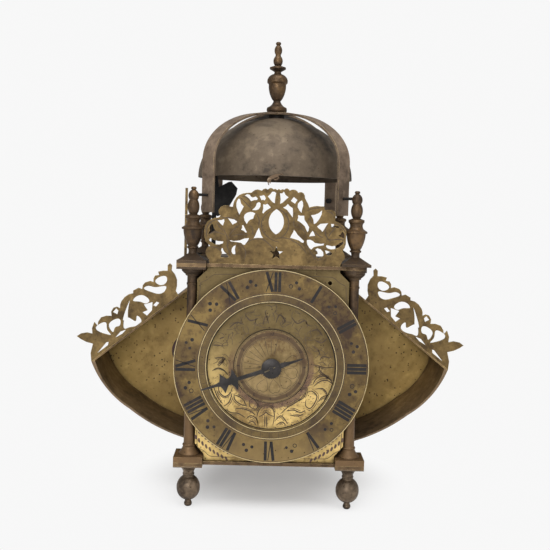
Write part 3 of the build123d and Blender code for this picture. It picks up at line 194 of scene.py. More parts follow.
def bandGroup():  # a round band about an axis that runs front to back, from one level to another
    tree, start, end = newGroup(
        "roundBand",
        [("Centre", "Float", 0.1237), ("Inner", "Float", 0.03), ("Outer", "Float", 0.04),
         ("Soft", "Float", 0.002), ("Low", "Float", -1.0), ("High", "Float", 1.0), ("Blend", "Float", 0.04)],
        [("Mask", "Float")])
    place = put(tree, "TexCoord").outputs["Object"]
    ragged = put(tree, "TexNoise", {"Vector": place, "Scale": 180.0, "Detail": 4.0}).outputs[0]
    parts = put(tree, "SeparateXYZ", {0: place}).outputs
    rise = math2(tree, "SUBTRACT", parts[2], start["Centre"])
    reach = math2(tree, "SQRT", math2(tree, "ADD", math2(tree, "MULTIPLY", parts[0], parts[0]),
                                      math2(tree, "MULTIPLY", rise, rise)))
    sway = math2(tree, "MULTIPLY", math2(tree, "SUBTRACT", ragged, 0.5), start["Soft"])
    reach = math2(tree, "ADD", reach, sway)
    innerEnd = math2(tree, "ADD", start["Inner"], start["Soft"])
    outerStart = math2(tree, "SUBTRACT", start["Outer"], start["Soft"])
    mask = math2(tree, "MULTIPLY", ramp(tree, reach, start["Inner"], innerEnd),
                 ramp(tree, reach, start["Outer"], outerStart))
    above = ramp(tree, parts[2], start["Low"], math2(tree, "ADD", start["Low"], start["Blend"]))
    below = ramp(tree, parts[2], start["High"], math2(tree, "SUBTRACT", start["High"], start["Blend"]))
    tree.links.new(math2(tree, "MULTIPLY", mask, math2(tree, "MULTIPLY", above, below)), end["Mask"])
    return tree


groups = {"cloudy": cloudyGroup(), "specks": speckGroup(), "wear": wearGroup(), "grimeAndShade": grimeGroup(),
          "grain": grainGroup(), "band": bandGroup()}


def useGroup(tree, name, inputs):
    node = tree.nodes.new("ShaderNodeGroup")
    node.node_tree = groups[name]
    for key, value in inputs.items():
        node.inputs[key].default_value = value
    return node.outputs


def linear(level):  # a screen level, 0 to 255, as light
    share = level / 255
    return share / 12.92 if level <= 10 else ((share + 0.055) / 1.055) ** 2.4


def rgb(red, green, blue):  # a colour as seen on the screen
    return linear(red), linear(green), linear(blue), 1


plainLook = {
    "bright": rgb(168, 144, 92), "middle": rgb(148, 124, 78), "dark": rgb(112, 90, 56), "size": 26.0,
    "balance": 0.5, "spread": 0.1, "speckSize": 520.0, "speckAmount": 0.05, "speck": rgb(66, 50, 34),
    "wear": 2.5, "wearRadius": 0.0006, "worn": rgb(214, 190, 132), "grimeAndShadeReach": 0.005,
    # grime: the colour of dirt and painted shade in recesses
    "grimeAndShade": rgb(40, 29, 19), "metallic": 0.7, "smooth": 0.40, "rough": 0.58, "cloudEnds": (0.35, 0.65),
    "bump": 0.14, "height": 0.0004, "fine": 900.0, "broad": 120.0, "round": 0.0004, "bands": []}
plainBand = {"inner": -0.01, "low": -1.0, "high": 1.0, "blend": 0.05, "soft": 0.002}

# bands are rounds about the dial's centre, in metres, tinted between two levels above the floor
looks = {
    "dial_brass": {
        "bright": rgb(224, 194, 126), "middle": rgb(200, 172, 110), "dark": rgb(152, 126, 78),
        "speckAmount": 0.07, "smooth": 0.5, "rough": 0.64, "metallic": 0.6,
        "bands": [
            # painted shade: the plate's upper part is darkened, where it reflects less light
            {"outer": 0.2, "low": 0.086, "blend": 0.072, "colour": rgb(80, 66, 39), "amount": 0.88},
            {"inner": 0.029, "outer": 0.0375, "high": 0.15, "blend": 0.04, "colour": rgb(109, 83, 71),
             "amount": 0.8}]},
    "ring_brass": {
        "bright": rgb(122, 101, 60), "middle": rgb(95, 77, 48), "dark": rgb(67, 52, 41), "size": 22.0,
        "speckAmount": 0.04, "wear": 6.0, "worn": rgb(167, 151, 116), "smooth": 0.42, "rough": 0.55,
        "bands": [
            {"inner": 0.054, "outer": 0.0625, "colour": rgb(88, 75, 53), "amount": 0.4},
            # painted light: the ring's lower part is brighter, where it reflects more light
            {"inner": 0.06, "outer": 0.09, "high": 0.085, "colour": rgb(146, 123, 80), "amount": 0.8}]},
    "fret_brass": {
        "bright": rgb(126, 103, 62), "middle": rgb(104, 84, 49), "dark": rgb(78, 61, 36), "size": 34.0,
        "speckAmount": 0.03, "metallic": 0.6, "smooth": 0.46, "rough": 0.62},
    "wing_brass": {
        "bright": rgb(210, 178, 108), "middle": rgb(178, 148, 86), "dark": rgb(136, 110, 62),
        "speckAmount": 0.16, "speckSize": 400.0, "size": 16.0, "spread": 0.14, "metallic": 0.55,
        "bands": [
            # painted shade: the wing backs are darkened towards the clock's body, leaving their tips lighter
            {"inner": -0.06, "outer": 0.155, "soft": 0.055, "colour": rgb(128, 104, 60), "amount": 0.55}]},
    "rim_brass": {
        "bright": rgb(142, 120, 92), "middle": rgb(116, 96, 73), "dark": rgb(82, 66, 50), "spread": 0.14,
        "worn": rgb(156, 134, 96), "metallic": 0.55},
    "slope_brass": {
        "bright": rgb(136, 112, 76), "middle": rgb(108, 86, 58), "dark": rgb(74, 57, 40), "wear": 3.5,
        "worn": rgb(214, 184, 118), "metallic": 0.55},
    "foot_brass": {
        "bright": rgb(126, 108, 88), "middle": rgb(102, 87, 71), "dark": rgb(72, 60, 49), "size": 45.0,
        "metallic": 0.7, "worn": rgb(170, 148, 118), "smooth": 0.34, "rough": 0.5},
    "case_brass": {"bright": rgb(119, 97, 69), "middle": rgb(99, 79, 57), "dark": rgb(74, 58, 41)},
    "turned_brass": {
        "bright": rgb(112, 86, 55), "middle": rgb(80, 61, 41), "dark": rgb(48, 37, 28), "size": 34.0,
        "spread": 0.13, "metallic": 0.6, "worn": rgb(134, 110, 78), "smooth": 0.4, "rough": 0.58,
        "bands": [
            # painted highlight: the pillars' lower parts are lightened, standing in for the highlights on
            # them
            {"inner": 0.07, "outer": 0.2, "high": 0.11, "blend": 0.04, "colour": rgb(130, 102, 70),
             "amount": 0.55},
            {"outer": 0.14, "low": 0.194, "high": 0.225, "blend": 0.008, "colour": rgb(58, 46, 35),
             "amount": 0.75}]},
    "alarm_brass": {
        "bright": rgb(147, 125, 86), "middle": rgb(132, 112, 75), "dark": rgb(107, 86, 58), "size": 34.0,
        "bands": [{"inner": 0.0248, "outer": 0.0305, "colour": rgb(80, 63, 49), "amount": 0.88}]},
    "bell_metal": {
        "bright": rgb(124, 109, 90), "middle": rgb(100, 87, 72), "dark": rgb(70, 61, 52), "size": 14.0,
        "metallic": 0.6, "speckAmount": 0.03, "worn": rgb(149, 136, 108), "smooth": 0.5, "rough": 0.66,
        "broad": 60.0},
    "strap_brass": {
        "bright": rgb(144, 125, 106), "middle": rgb(123, 105, 88), "dark": rgb(92, 77, 64), "size": 26.0,
        "metallic": 0.45, "smooth": 0.46, "rough": 0.64},
    "wheel_brass": {},
    "blued_steel": {
        "bright": rgb(60, 56, 54), "middle": rgb(46, 43, 42), "dark": rgb(33, 31, 30), "metallic": 0.5,
        "speck": rgb(24, 22, 22), "worn": rgb(104, 96, 86), "smooth": 0.36, "rough": 0.55},
    "black_iron": {
        "bright": rgb(34, 31, 29), "middle": rgb(24, 22, 21), "dark": rgb(16, 15, 15), "metallic": 0.2,
        "speck": rgb(38, 30, 25), "worn": rgb(52, 47, 43), "smooth": 0.6, "rough": 0.8},
    "arbor_steel": {"bright": rgb(112, 102, 86), "middle": rgb(92, 84, 70), "dark": rgb(68, 61, 52)},
    "bob_iron": {
        "bright": rgb(84, 54, 46), "middle": rgb(64, 40, 36), "dark": rgb(42, 28, 26), "metallic": 0.3,
        "speck": rgb(30, 20, 18), "worn": rgb(110, 78, 64), "smooth": 0.45, "rough": 0.65}}


def metal(name, look):
    s = {**plainLook, **look}
    material = bpy.data.materials.new(name)
    material.use_nodes = True
    tree = material.node_tree
    surface = tree.nodes["Principled BSDF"]
    clouds = useGroup(tree, "cloudy", {"Bright": s["bright"], "Middle": s["middle"], "Dark": s["dark"],
                                       "Size": s["size"], "Balance": s["balance"], "Spread": s["spread"]})
    specks = useGroup(tree, "specks", {"Size": s["speckSize"], "Amount": s["speckAmount"]})
    wear = useGroup(tree, "wear", {"Strength": s["wear"], "Radius": s["wearRadius"]})
    grimeAndShade = useGroup(tree, "grimeAndShade", {"Reach": s["grimeAndShadeReach"]})
    grain = useGroup(tree, "grain", {"Fine": s["fine"], "Broad": s["broad"]})
    colour = clouds["Color"]
    for band in ({**plainBand, **found} for found in s["bands"]):
        edges = {key.capitalize(): band[key] for key in ("inner", "outer", "soft", "low", "high", "blend")}
        mask = useGroup(tree, "band", edges)["Mask"]
        colour = mixColour(tree, math2(tree, "MULTIPLY", mask, band["amount"]), colour, band["colour"])
    colour = mixColour(tree, specks["Mask"], colour, s["speck"])
    # dirt and painted shade darken the recesses
    colour = mixColour(tree, grimeAndShade["Mask"], colour, s["grimeAndShade"])
    colour = mixColour(tree, wear["Mask"], colour, s["worn"])
    tree.links.new(colour, surface.inputs["Base Color"])
    roughness = ramp(tree, clouds["Mask"], *s["cloudEnds"], s["rough"], s["smooth"])
    tree.links.new(roughness, surface.inputs["Roughness"])
    surface.inputs["Metallic"].default_value = s["metallic"]
    height = math2(tree, "SUBTRACT", grain["Height"], specks["Mask"])
    rounded = put(tree, "Bevel", {"Radius": s["round"]}, samples=4).outputs[0]
    bump = put(tree, "Bump", {"Strength": s["bump"], "Distance": s["height"], "Height": height,
                              "Normal": rounded})
    tree.links.new(bump.outputs[0], surface.inputs["Normal"])
    return material


materials = {name: metal(name, look) for name, look in looks.items()}
slotOf = {entry["node"]: entry["material_slot"] for entry in frame["record"]["subparts"]}

# brasses of their own for the wings' rims and slopes and for the feet
finerLook = {"left_wing_rim": "rim_brass", "right_wing_rim": "rim_brass", "left_wing_top": "slope_brass",
             "right_wing_top": "slope_brass"}
for corner in ("front_left", "front_right", "back_left", "back_right"):
    finerLook["foot_" + corner] = "foot_brass"
for name, node in nodes.items():
    node.data.materials.clear()
    node.data.materials.append(materials[finerLook.get(name, slotOf[name])])
print("metals on", len(nodes), "pieces")


# waxes and tarnish that lie in the engraved lines, and a pale colour for painted highlights on the chapter
# ring's edges
inkCloudSize = 90.0
inkLooks = {
    "blackWax": {"colour": rgb(27, 24, 24), "second": rgb(48, 40, 37), "rough": 0.8},
    "faintLine": {"colour": rgb(76, 60, 38), "second": rgb(96, 78, 50), "rough": 0.6},
    "faintFret": {"colour": rgb(66, 50, 32), "second": rgb(90, 70, 44), "rough": 0.6},
    # painted highlight: pale lines of light along the chapter ring's edges
    "paintedHighlight": {"colour": rgb(206, 186, 136), "second": rgb(160, 138, 92), "rough": 0.4},
    "brownLine": {"colour": rgb(62, 46, 30), "second": rgb(88, 66, 42), "rough": 0.6},
    "oldTwine": {"colour": rgb(104, 84, 64), "second": rgb(150, 130, 106), "rough": 0.9},
    "purpleGround": {"colour": rgb(82, 58, 52), "second": rgb(106, 80, 60), "rough": 0.6}}


def ink(name, s):
    material = bpy.data.materials.new(name)
    material.use_nodes = True
    tree = material.node_tree
    surface = tree.nodes["Principled BSDF"]
    clouds = useGroup(tree, "cloudy", {
        "Bright": s["second"], "Middle": s["colour"], "Dark": s["colour"], "Size": inkCloudSize})
    tree.links.new(clouds["Color"], surface.inputs["Base Color"])
    surface.inputs["Roughness"].default_value = s["rough"]
    return material


inks = {name: ink(name, look) for name, look in inkLooks.items()}


# strokes: ribbons in mm, across and up from a centre on a piece's front face
def smoothLine(points, steps=5):
    ends = [points[0]] + list(points) + [points[-1]]
    line = []
    for before, first, second, after in zip(ends, ends[1:], ends[2:], ends[3:]):
        for step in range(steps):
            t = step / steps
            line.append(tuple(
                0.5 * (2 * b + (c - a) * t + (2 * a - 5 * b + 4 * c - d) * t ** 2
                       + (3 * b - a - 3 * c + d) * t ** 3)
                for a, b, c, d in zip(before, first, second, after)))
    return line + [tuple(points[-1])]


def vertex(mesh, x, y, z):
    return mesh.verts.new((x * mm, y * mm, z * mm))


def joinRows(mesh, pairs):  # a four-sided tube through rows of four points
    for one, two in pairs:
        for side in range(4):
            mesh.faces.new((one[side], one[(side + 1) % 4], two[(side + 1) % 4], two[side]))


def prism(mesh, left, right, front, back):
    rows = [[vertex(mesh, lx, front, lz), vertex(mesh, rx, front, rz),
             vertex(mesh, rx, back, rz), vertex(mesh, lx, back, lz)]
            for (lx, lz), (rx, rz) in zip(left, right)]
    joinRows(mesh, zip(rows, rows[1:]))
    mesh.faces.new(rows[0][::-1])
    mesh.faces.new(rows[-1])


probe = {"before": 4.0, "reach": 4.5, "fewest": 4}  # mm before the face, mm looked through, points in a run


def onMetal(line, spot):  # the runs of a line that lie on the piece's front
    runs, run = [], []
    for x, z in line:
        start = Vector(((spot["x"] + x) * mm, (spot["front"] - probe["before"]) * mm, (spot["z"] + z) * mm))
        if spot["metal"].ray_cast(start, Vector((0, 1, 0)), probe["reach"] * mm)[0] is None:
            runs, run = runs + [run], []
        else:
            run.append((x, z))
    return [found for found in runs + [run] if len(found) >= probe["fewest"]]


def stroke(mesh, points, wide, spot, curved=True, taper=True):
    line = smoothLine(points) if curved else list(points)
    for run in (onMetal(line, spot) if "metal" in spot else [line]):
        ribbon(mesh, run, wide, spot, taper)


def ribbon(mesh, line, wide, spot, taper):  # a tapered one thins to a quarter at its ends
    count = len(line)
    left, right = [], []
    for index, (x, z) in enumerate(line):
        before = line[max(index - 1, 0)]
        after = line[min(index + 1, count - 1)]
        run, rise = after[0] - before[0], after[1] - before[1]
        length = math.hypot(run, rise) or 1.0
        share = index / (count - 1)
        half = wide / 2 * (max(math.sin(math.pi * share), 0.0) ** 0.5 * 0.75 + 0.25 if taper else 1.0)
        dx, dz = -rise / length * half, run / length * half
        left.append((spot["x"] + x + dx, spot["z"] + z + dz))
        right.append((spot["x"] + x - dx, spot["z"] + z - dz))
    prism(mesh, left, right, spot["front"] - spot["proud"], spot["front"] + spot["sunk"])


def hoop(mesh, radius, wide, spot, x=0.0, z=0.0, sides=96):
    rows = []
    front, back = spot["front"] - spot["proud"], spot["front"] + spot["sunk"]
    inner, outer = radius - wide / 2, radius + wide / 2
    for step in range(sides):
        angle = 2 * math.pi * step / sides
        rows.append([
            vertex(mesh, spot["x"] + x + reach * math.cos(angle), y, spot["z"] + z + reach * math.sin(angle))
            for reach, y in ((inner, front), (outer, front), (outer, back), (inner, back))])
    joinRows(mesh, zip(rows, rows[1:] + rows[:1]))


def dot(mesh, x, z, radius, spot, sides=14):
    front, back = [], []
    for step in range(sides):
        angle = 2 * math.pi * step / sides
        across, up = spot["x"] + x + radius * math.cos(angle), spot["z"] + z + radius * math.sin(angle)
        front.append(vertex(mesh, across, spot["front"] - spot["proud"], up))
        back.append(vertex(mesh, across, spot["front"] + spot["sunk"], up))
    mesh.faces.new(front)
    mesh.faces.new(back[::-1])
    for step in range(sides):
        nextStep = (step + 1) % sides
        mesh.faces.new((front[step], back[step], back[nextStep], front[nextStep]))


def polar(reach, angle):
    return reach * math.cos(angle), reach * math.sin(angle)


def inked(name, draw, material, body):
    mesh = bmesh.new()
    draw(mesh)
    bmesh.ops.recalc_face_normals(mesh, faces=mesh.faces)
    data = bpy.data.meshes.new(name)
    mesh.to_mesh(data)
    mesh.free()
    data.materials.append(inks[material])
    piece = bpy.data.objects.new(name, data)
    bpy.context.scene.collection.objects.link(piece)
    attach(piece, body)


# where each piece's front face is, in mm; lines stand a little proud of it and reach a little into it
inkDepth = {"proud": 0.03, "sunk": 0.05}
discFront = -77.0  # the alarm disc's
ringBox, dialBox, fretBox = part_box("chapter_ring"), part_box("dial_plate"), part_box("front_fret")
dialZ = (ringBox[0][2] + ringBox[1][2]) / 2 / mm
ringSpot = {"x": 0, "z": dialZ, "front": ringBox[0][1] / mm, **inkDepth}
plateSpot = {"x": 0, "z": dialZ, "front": dialBox[0][1] / mm, **inkDepth}
discSpot = {"x": 0, "z": dialZ, "front": discFront, **inkDepth}
fretSpot = {"x": 0, "z": fretBox[0][2] / mm, "front": fretBox[0][1] / mm, **inkDepth,
            "metal": BVHTree.FromObject(nodes["front_fret"], bpy.context.evaluated_depsgraph_get())}


# the chapter ring's numerals, half-hour dots, circles and ticks, and painted highlights along its edges
ringMarks = {
    "feet": 63.9, "heads": 80.5, "thick": 2.5, "thin": 0.7, "pitch": {"I": 3.2, "V": 6.2, "X": 7.2},
    "dotRadius": 1.55, "dotSpread": (0.8, 1.08), "openShare": 0.15, "openWide": 0.6, "openSides": 20,
    "firstDots": 75, "apex": 74.4, "base": 70.4, "baseTurn": 3.0,
    "circles": [(62.4, 0.5), (60.9, 0.35), (56.2, 0.3), (81.3, 0.3)],
    "ticks": 48, "tickFrom": 56.4, "tickTo": 60.8, "tickWide": 0.3,
    # radii and widths in mm of the painted highlight hoops
    "paintedHighlights": [(82.25, 0.4), (61.65, 0.4), (55.25, 0.4)]}
# each letter's bars: share of its width and mm on from there, at the head and at the foot
letterBars = {
    "I": [(0.5, 0.0, 0.5, 0.0, "thick")],
    "V": [(0.0, 1.0, 0.5, 0.0, "thick"), (1.0, -0.6, 0.5, 0.5, "thin")],
    "X": [(0.0, 1.0, 1.0, -1.0, "thick"), (1.0, -0.8, 0.0, 0.8, "thin")]}
hourWords = ["I", "II", "III", "IIII", "V", "VI", "VII", "VIII", "IX", "X", "XI", "XII"]


def ringNumerals(mesh):
    s = ringMarks
    for hour, word in enumerate(hourWords, 1):
        angle = math.radians(90 - 30 * hour)
        up, right = (math.cos(angle), math.sin(angle)), (math.sin(angle), -math.cos(angle))
        across = -sum(s["pitch"][letter] for letter in word) / 2
        for letter in word:
            width = s["pitch"][letter]
            for headShare, headOn, footShare, footOn, weight in letterBars[letter]:
                head = across + headShare * width + headOn
                foot = across + footShare * width + footOn
                ends = [(reach * up[0] + aside * right[0], reach * up[1] + aside * right[1])
                        for reach, aside in ((s["heads"], head), (s["feet"], foot))]
                stroke(mesh, ends, s[weight], ringSpot, curved=False, taper=False)
            across += width


def ringDots(mesh):
    s = ringMarks
    for half in range(12):
        middle = s["firstDots"] - 30 * half
        for reach, turn in ((s["apex"], 0), (s["base"], s["baseTurn"]), (s["base"], -s["baseTurn"])):
            x, z = polar(reach, math.radians(middle + turn))
            radius = s["dotRadius"] * random.uniform(*s["dotSpread"])
            if random.random() < s["openShare"]:
                hoop(mesh, radius, s["openWide"], ringSpot, x, z, s["openSides"])
            else:
                dot(mesh, x, z, radius, ringSpot)


def ringLines(mesh):
    s = ringMarks
    for radius, wide in s["circles"]:
        hoop(mesh, radius, wide, ringSpot)
    for tick in range(s["ticks"]):
        angle = math.radians(360 / s["ticks"] * tick)
        ends = [polar(s["tickFrom"], angle), polar(s["tickTo"], angle)]
        stroke(mesh, ends, s["tickWide"], ringSpot, taper=False)


# painted highlights: pale hoops at the ring's outer and inner edges and at 61.65 mm, standing in for light
# caught there
def ringBrights(mesh):
    for radius, wide in ringMarks["paintedHighlights"]:
        hoop(mesh, radius, wide, ringSpot)


inked("ring_painted_highlights", ringBrights, "paintedHighlight", "frame")
inked("ring_numerals", ringNumerals, "blackWax", "frame")
inked("ring_dots", ringDots, "blackWax", "frame")
inked("ring_lines", ringLines, "brownLine", "frame")


# the dial plate's foliage: strokes in mm from the dial's centre, drawn one by one
leafStrokes = [
    # tulip at the foot and the leaves beside it
    [(-9.8, -50.4), (-11.0, -42.6), (-8.2, -35.5), (-3.5, -33.2), (2.0, -35.5), (3.9, -41.8), (2.7, -50.4)],
    [(-9.8, -43.4), (-5.1, -40.6), (-3.5, -38.7), (-1.2, -40.6), (3.5, -42.6)],
    [(-4.3, -41.8), (-4.0, -52.0)], [(-2.7, -41.8), (-2.4, -52.0)],
    [(4.3, -46.5), (9.0, -41.8), (12.9, -44.9), (15.3, -48.9)],
    [(-20.0, -44.9), (-16.1, -42.2), (-11.4, -44.9), (-9.8, -50.4)],
    [(5.5, -50.0), (10.5, -47.2), (14.0, -50.0)], [(-18.5, -49.0), (-14.5, -47.0), (-11.5, -50.5)],
    # scrolls to the right
    [(9.0, -40.2), (15.3, -34.0), (21.6, -30.0), (26.3, -26.1), (29.4, -21.4)],
    [(21.6, -23.0), (24.7, -19.1), (30.2, -18.3), (28.6, -25.3), (23.1, -29.2)],
    [(31.0, -21.4), (34.9, -19.8), (39.6, -23.8), (38.0, -30.0), (34.1, -34.8), (30.2, -32.4),
     (30.6, -27.0)], [(14.0, -37.5), (20.0, -36.5), (26.0, -38.5), (30.0, -36.5)],
    [(17.0, -41.0), (24.0, -41.5), (29.0, -39.5)],
    [(35.7, -14.4), (38.8, -8.9), (44.3, -6.5), (49.8, -8.9), (52.9, -13.6)],
    [(36.5, -15.9), (42.0, -11.2), (48.2, -10.4), (52.9, -13.6)],
    [(40.4, 2.1), (42.0, -2.6), (48.2, -7.3), (52.2, -10.4)],
    [(34.9, 2.9), (40.4, 2.1), (45.9, 0.6), (53.7, 1.3)], [(41.2, 6.8), (43.5, 10.0), (49.8, 9.2)],
    [(34.1, 19.4), (39.6, 15.4), (41.2, 10.8)],
    [(38.0, -18.0), (44.5, -17.5), (48.0, -22.0), (46.0, -27.0)],
    [(41.0, -29.0), (44.0, -25.0), (49.5, -22.5)],
    # loops to the left
    [(-44.3, -15.9), (-43.5, -22.2), (-38.8, -26.1), (-34.1, -23.0), (-32.5, -17.5)],
    [(-48.2, -18.3), (-45.1, -26.1), (-40.4, -32.4)], [(-32.5, -23.0), (-34.9, -30.8), (-39.6, -34.7)],
    [(-31.0, -23.0), (-30.2, -28.5), (-25.5, -32.4), (-19.2, -34.0)],
    [(-31.0, -24.5), (-26.3, -26.1), (-22.4, -29.2), (-20.8, -33.2)],
    [(-17.6, -29.2), (-14.5, -27.7), (-10.6, -32.4), (-12.0, -36.5), (-17.2, -34.3), (-17.6, -29.2)],
    [(-29.4, -36.3), (-23.1, -36.3), (-16.1, -38.7), (-12.2, -41.8)],
    [(-38.0, -37.0), (-33.0, -40.0), (-27.0, -40.5), (-21.0, -44.0)],
    # faint ones above
    [(-49.8, 17.8), (-43.5, 17.8)], [(-44.3, 23.3), (-40.4, 24.9)],
    [(-48.2, 6.8), (-39.6, 6.8), (-44.3, -0.2)], [(-45.9, 0.6), (-41.2, 4.5), (-38.8, 6.8)],
    [(-36.0, 33.0), (-30.5, 37.5), (-24.0, 36.0)], [(-23.0, 44.0), (-18.5, 39.5), (-12.0, 41.5)],
    [(-8.0, 36.0), (-5.5, 43.5), (-3.0, 37.0)], [(3.0, 38.0), (6.0, 45.0), (10.5, 40.0), (8.0, 36.5)],
    [(16.0, 43.5), (21.0, 38.0), (27.5, 40.5), (30.0, 35.0)], [(33.0, 31.5), (38.5, 33.0), (43.0, 27.5)],
    [(36.5, 24.0), (42.0, 22.0), (46.5, 25.5)]]
darkStrokes = [[(-49.8, -4.2), (-45.1, -1.8), (-40.4, -3.4), (-36.5, -7.3)]]
# the dark circle at 54.4 mm is a painted shadow on the plate along the chapter ring's inner edge
leafSet = {"wide": 1.05, "innerWide": 0.6, "innerBelow": 3, "aside": (1.1, 1.5), "trim": 5, "fewest": 4,
           "drop": 0.9, "darkWide": 1.1, "circles": [(31.8, 0.5), (54.4, 0.8)]}
hatchSet = {"count": 420, "inner": 32.0, "near": 38.0, "outer": 53.5, "fromTurn": 190, "toTurn": 352,
            "lean": (0.5, 0.9), "long": (0.8, 2.0), "wide": 0.42}
curlSet = {"count": 120, "inner": 33.0, "outer": 53.5, "fromTurn": -8, "toTurn": 188, "bend": (0.25, 0.5),
           "steps": 4, "step": 1.9, "wide": 0.5}
leafSpot = {**plateSpot, "z": dialZ - leafSet["drop"]}


def dialLeaves(mesh):  # each stroke, and a thinner one beside it on the lower half
    s = leafSet
    for points in leafStrokes:
        stroke(mesh, points, s["wide"], leafSpot)
        if points[0][1] < s["innerBelow"]:
            line = smoothLine(points)
            trim = len(line) // s["trim"]
            line = line[trim:-trim]
            side = random.choice((-1, 1)) * random.uniform(*s["aside"])
            inner = []
            for before, after in zip(line, line[1:]):
                run, rise = after[0] - before[0], after[1] - before[1]
                length = math.hypot(run, rise) or 1.0
                inner.append((before[0] - rise / length * side, before[1] + run / length * side))
            if len(inner) >= s["fewest"]:
                stroke(mesh, inner, s["innerWide"], leafSpot)


def dialScrolls(mesh):  # small faint curls over the upper half
    s = curlSet
    for _ in range(s["count"]):
        angle = math.radians(random.uniform(s["fromTurn"], s["toTurn"]))
        reach = random.uniform(s["inner"], s["outer"])
        way = random.uniform(0, 2 * math.pi)
        bend = random.choice((-1, 1)) * random.uniform(*s["bend"])
        x, z = polar(reach, angle)
        points = [(x, z)]
        for _ in range(s["steps"]):
            x, z = x + s["step"] * math.cos(way), z + s["step"] * math.sin(way)
            way += bend
            points.append((x, z))
        if all(s["inner"] < math.hypot(*point) < s["outer"] for point in points):
            stroke(mesh, points, s["wide"], plateSpot)


# dark leaf lines and dark circles; the circle at 54.4 mm is a painted shadow along the chapter ring's inner
# edge
def dialDark(mesh):
    for points in darkStrokes:
        stroke(mesh, points, leafSet["darkWide"], leafSpot)
    for radius, wide in leafSet["circles"]:
        hoop(mesh, radius, wide, plateSpot)


def dialHatch(mesh):  # short ticks between the leaves, denser near the disc
    s = hatchSet
    for _ in range(s["count"]):
        angle = math.radians(random.uniform(s["fromTurn"], s["toTurn"]))
        reaches = (random.uniform(s["inner"], s["near"]), random.uniform(s["inner"], s["outer"]))
        reach = random.choice(reaches)
        x, z = polar(reach, angle)
        lean = angle + random.uniform(*s["lean"])
        long = random.uniform(*s["long"])
        stroke(mesh, [(x, z), (x + long * math.cos(lean), z + long * math.sin(lean))], s["wide"], plateSpot)


inked("dial_leaves", dialLeaves, "brownLine", "frame")
inked("dial_curls", dialScrolls, "faintLine", "frame")
inked("dial_dark_lines_and_shadow", dialDark, "blackWax", "frame")
inked("dial_hatching", dialHatch, "purpleGround", "frame")

# leaves in the plate's lower corners, and border lines in all four
cornerSet = {
    "leafCount": 9, "reach": 86.0, "aside": 1.5, "firstTurn": -44, "turn": 2.6, "lean": 0.6, "long": 4.0,
    "wide": 1.9, "bow": 0.3, "clear": 83.2, "borderWide": 0.5, "upperWide": 0.4, "upperShare": 0.97,
    "border": [(62.0, -57.0), (61.2, -70.5), (60.0, -72.3), (55.6, -74.6), (51.5, -78.2), (47.0, -79.4),
               (30.0, -79.6)]}


def cornerLeaves(mesh):
    s = cornerSet
    for side in (-1, 1):
        for index in range(s["leafCount"]):
            for edge in (-1, 1):
                angle = math.radians(s["firstTurn"] - index * s["turn"])
                x, z = polar(s["reach"] + edge * s["aside"], angle)
                lean = angle - math.pi / 2 + edge * s["lean"]
                tip = (x + s["long"] * math.cos(lean), z + s["long"] * math.sin(lean))
                middle = ((x + tip[0]) / 2 + s["bow"], (z + tip[1]) / 2 + s["bow"])
                if math.hypot(x, z) > s["clear"]:
                    stroke(mesh, [(side * p[0], p[1]) for p in ((x, z), middle, tip)], s["wide"], plateSpot)


def cornerBorders(mesh):
    s = cornerSet
    for side in (-1, 1):
        for rise, wide in ((1, s["borderWide"]), (-s["upperShare"], s["upperWide"])):
            stroke(mesh, [(side * x, rise * z) for x, z in s["border"]], wide, plateSpot, taper=False)


inked("corner_leaves", cornerLeaves, "purpleGround", "frame")
inked("corner_borders", cornerBorders, "brownLine", "frame")


# the alarm disc: circles, petals, rays and spokes round the boss, and small numbers
discSet = {
    "circles": [(30.5, 0.4), (25.1, 0.45), (24.2, 0.25)], "lineWide": 0.4,
    "petals": 5, "petalFirst": -112, "petalTurn": 32,
    "petal": [(11.0, 0.0), (15.0, -0.192), (20.0, -0.24), (23.0, -0.1), (22.4, 0.0), (23.0, 0.1),
              (20.0, 0.24), (15.0, 0.192), (11.0, 0.0)],  # mm from the centre, and turn in radians
    "rays": 22, "rayFrom": 8.8, "rayTo": 11.0, "rayWide": 0.6, "raySway": 2,
    "spokes": 11, "spokeFirst": 78, "spokeTurn": 13.5, "spokeReach": (10.0, 17.0, 23.6), "spokeWide": 0.5,
    "numberReach": 27.9, "digitPitch": 1.7}
digitStrokes = {
    "0": [[(0, 1.2), (-0.6, 0.6), (-0.6, -0.6), (0, -1.2), (0.6, -0.6), (0.6, 0.6), (0, 1.2)]],
    "1": [[(0, 1.2), (0, -1.2)]], "2": [[(-0.6, 0.8), (0, 1.2), (0.6, 0.6), (-0.6, -1.2), (0.7, -1.1)]],
    "3": [[(-0.6, 1.0), (0.4, 1.0), (0, 0.1), (0.6, -0.5), (0, -1.2), (-0.6, -0.9)]],
    "4": [[(0.3, -1.2), (0.3, 1.2), (-0.7, -0.4), (0.8, -0.4)]],
    "5": [[(0.6, 1.2), (-0.5, 1.1), (-0.5, 0.2), (0.4, 0.2), (0.5, -0.7), (-0.5, -1.1)]],
    "6": [[(0.4, 1.2), (-0.5, 0.2), (-0.4, -0.9), (0.4, -0.9), (0.4, 0), (-0.5, -0.1)]],
    "7": [[(-0.6, 1.1), (0.6, 1.1), (-0.1, -1.2)]],
    "8": [[(0, 0.1), (0.5, 0.6), (0, 1.2), (-0.5, 0.6), (0, 0.1), (0.6, -0.6), (0, -1.2), (-0.6, -0.6),
           (0, 0.1)]],
    "9": [[(0.5, 0.2), (-0.4, 0.2), (-0.4, 1.0), (0.4, 1.1), (0.5, 0.2), (0, -1.2)]]}


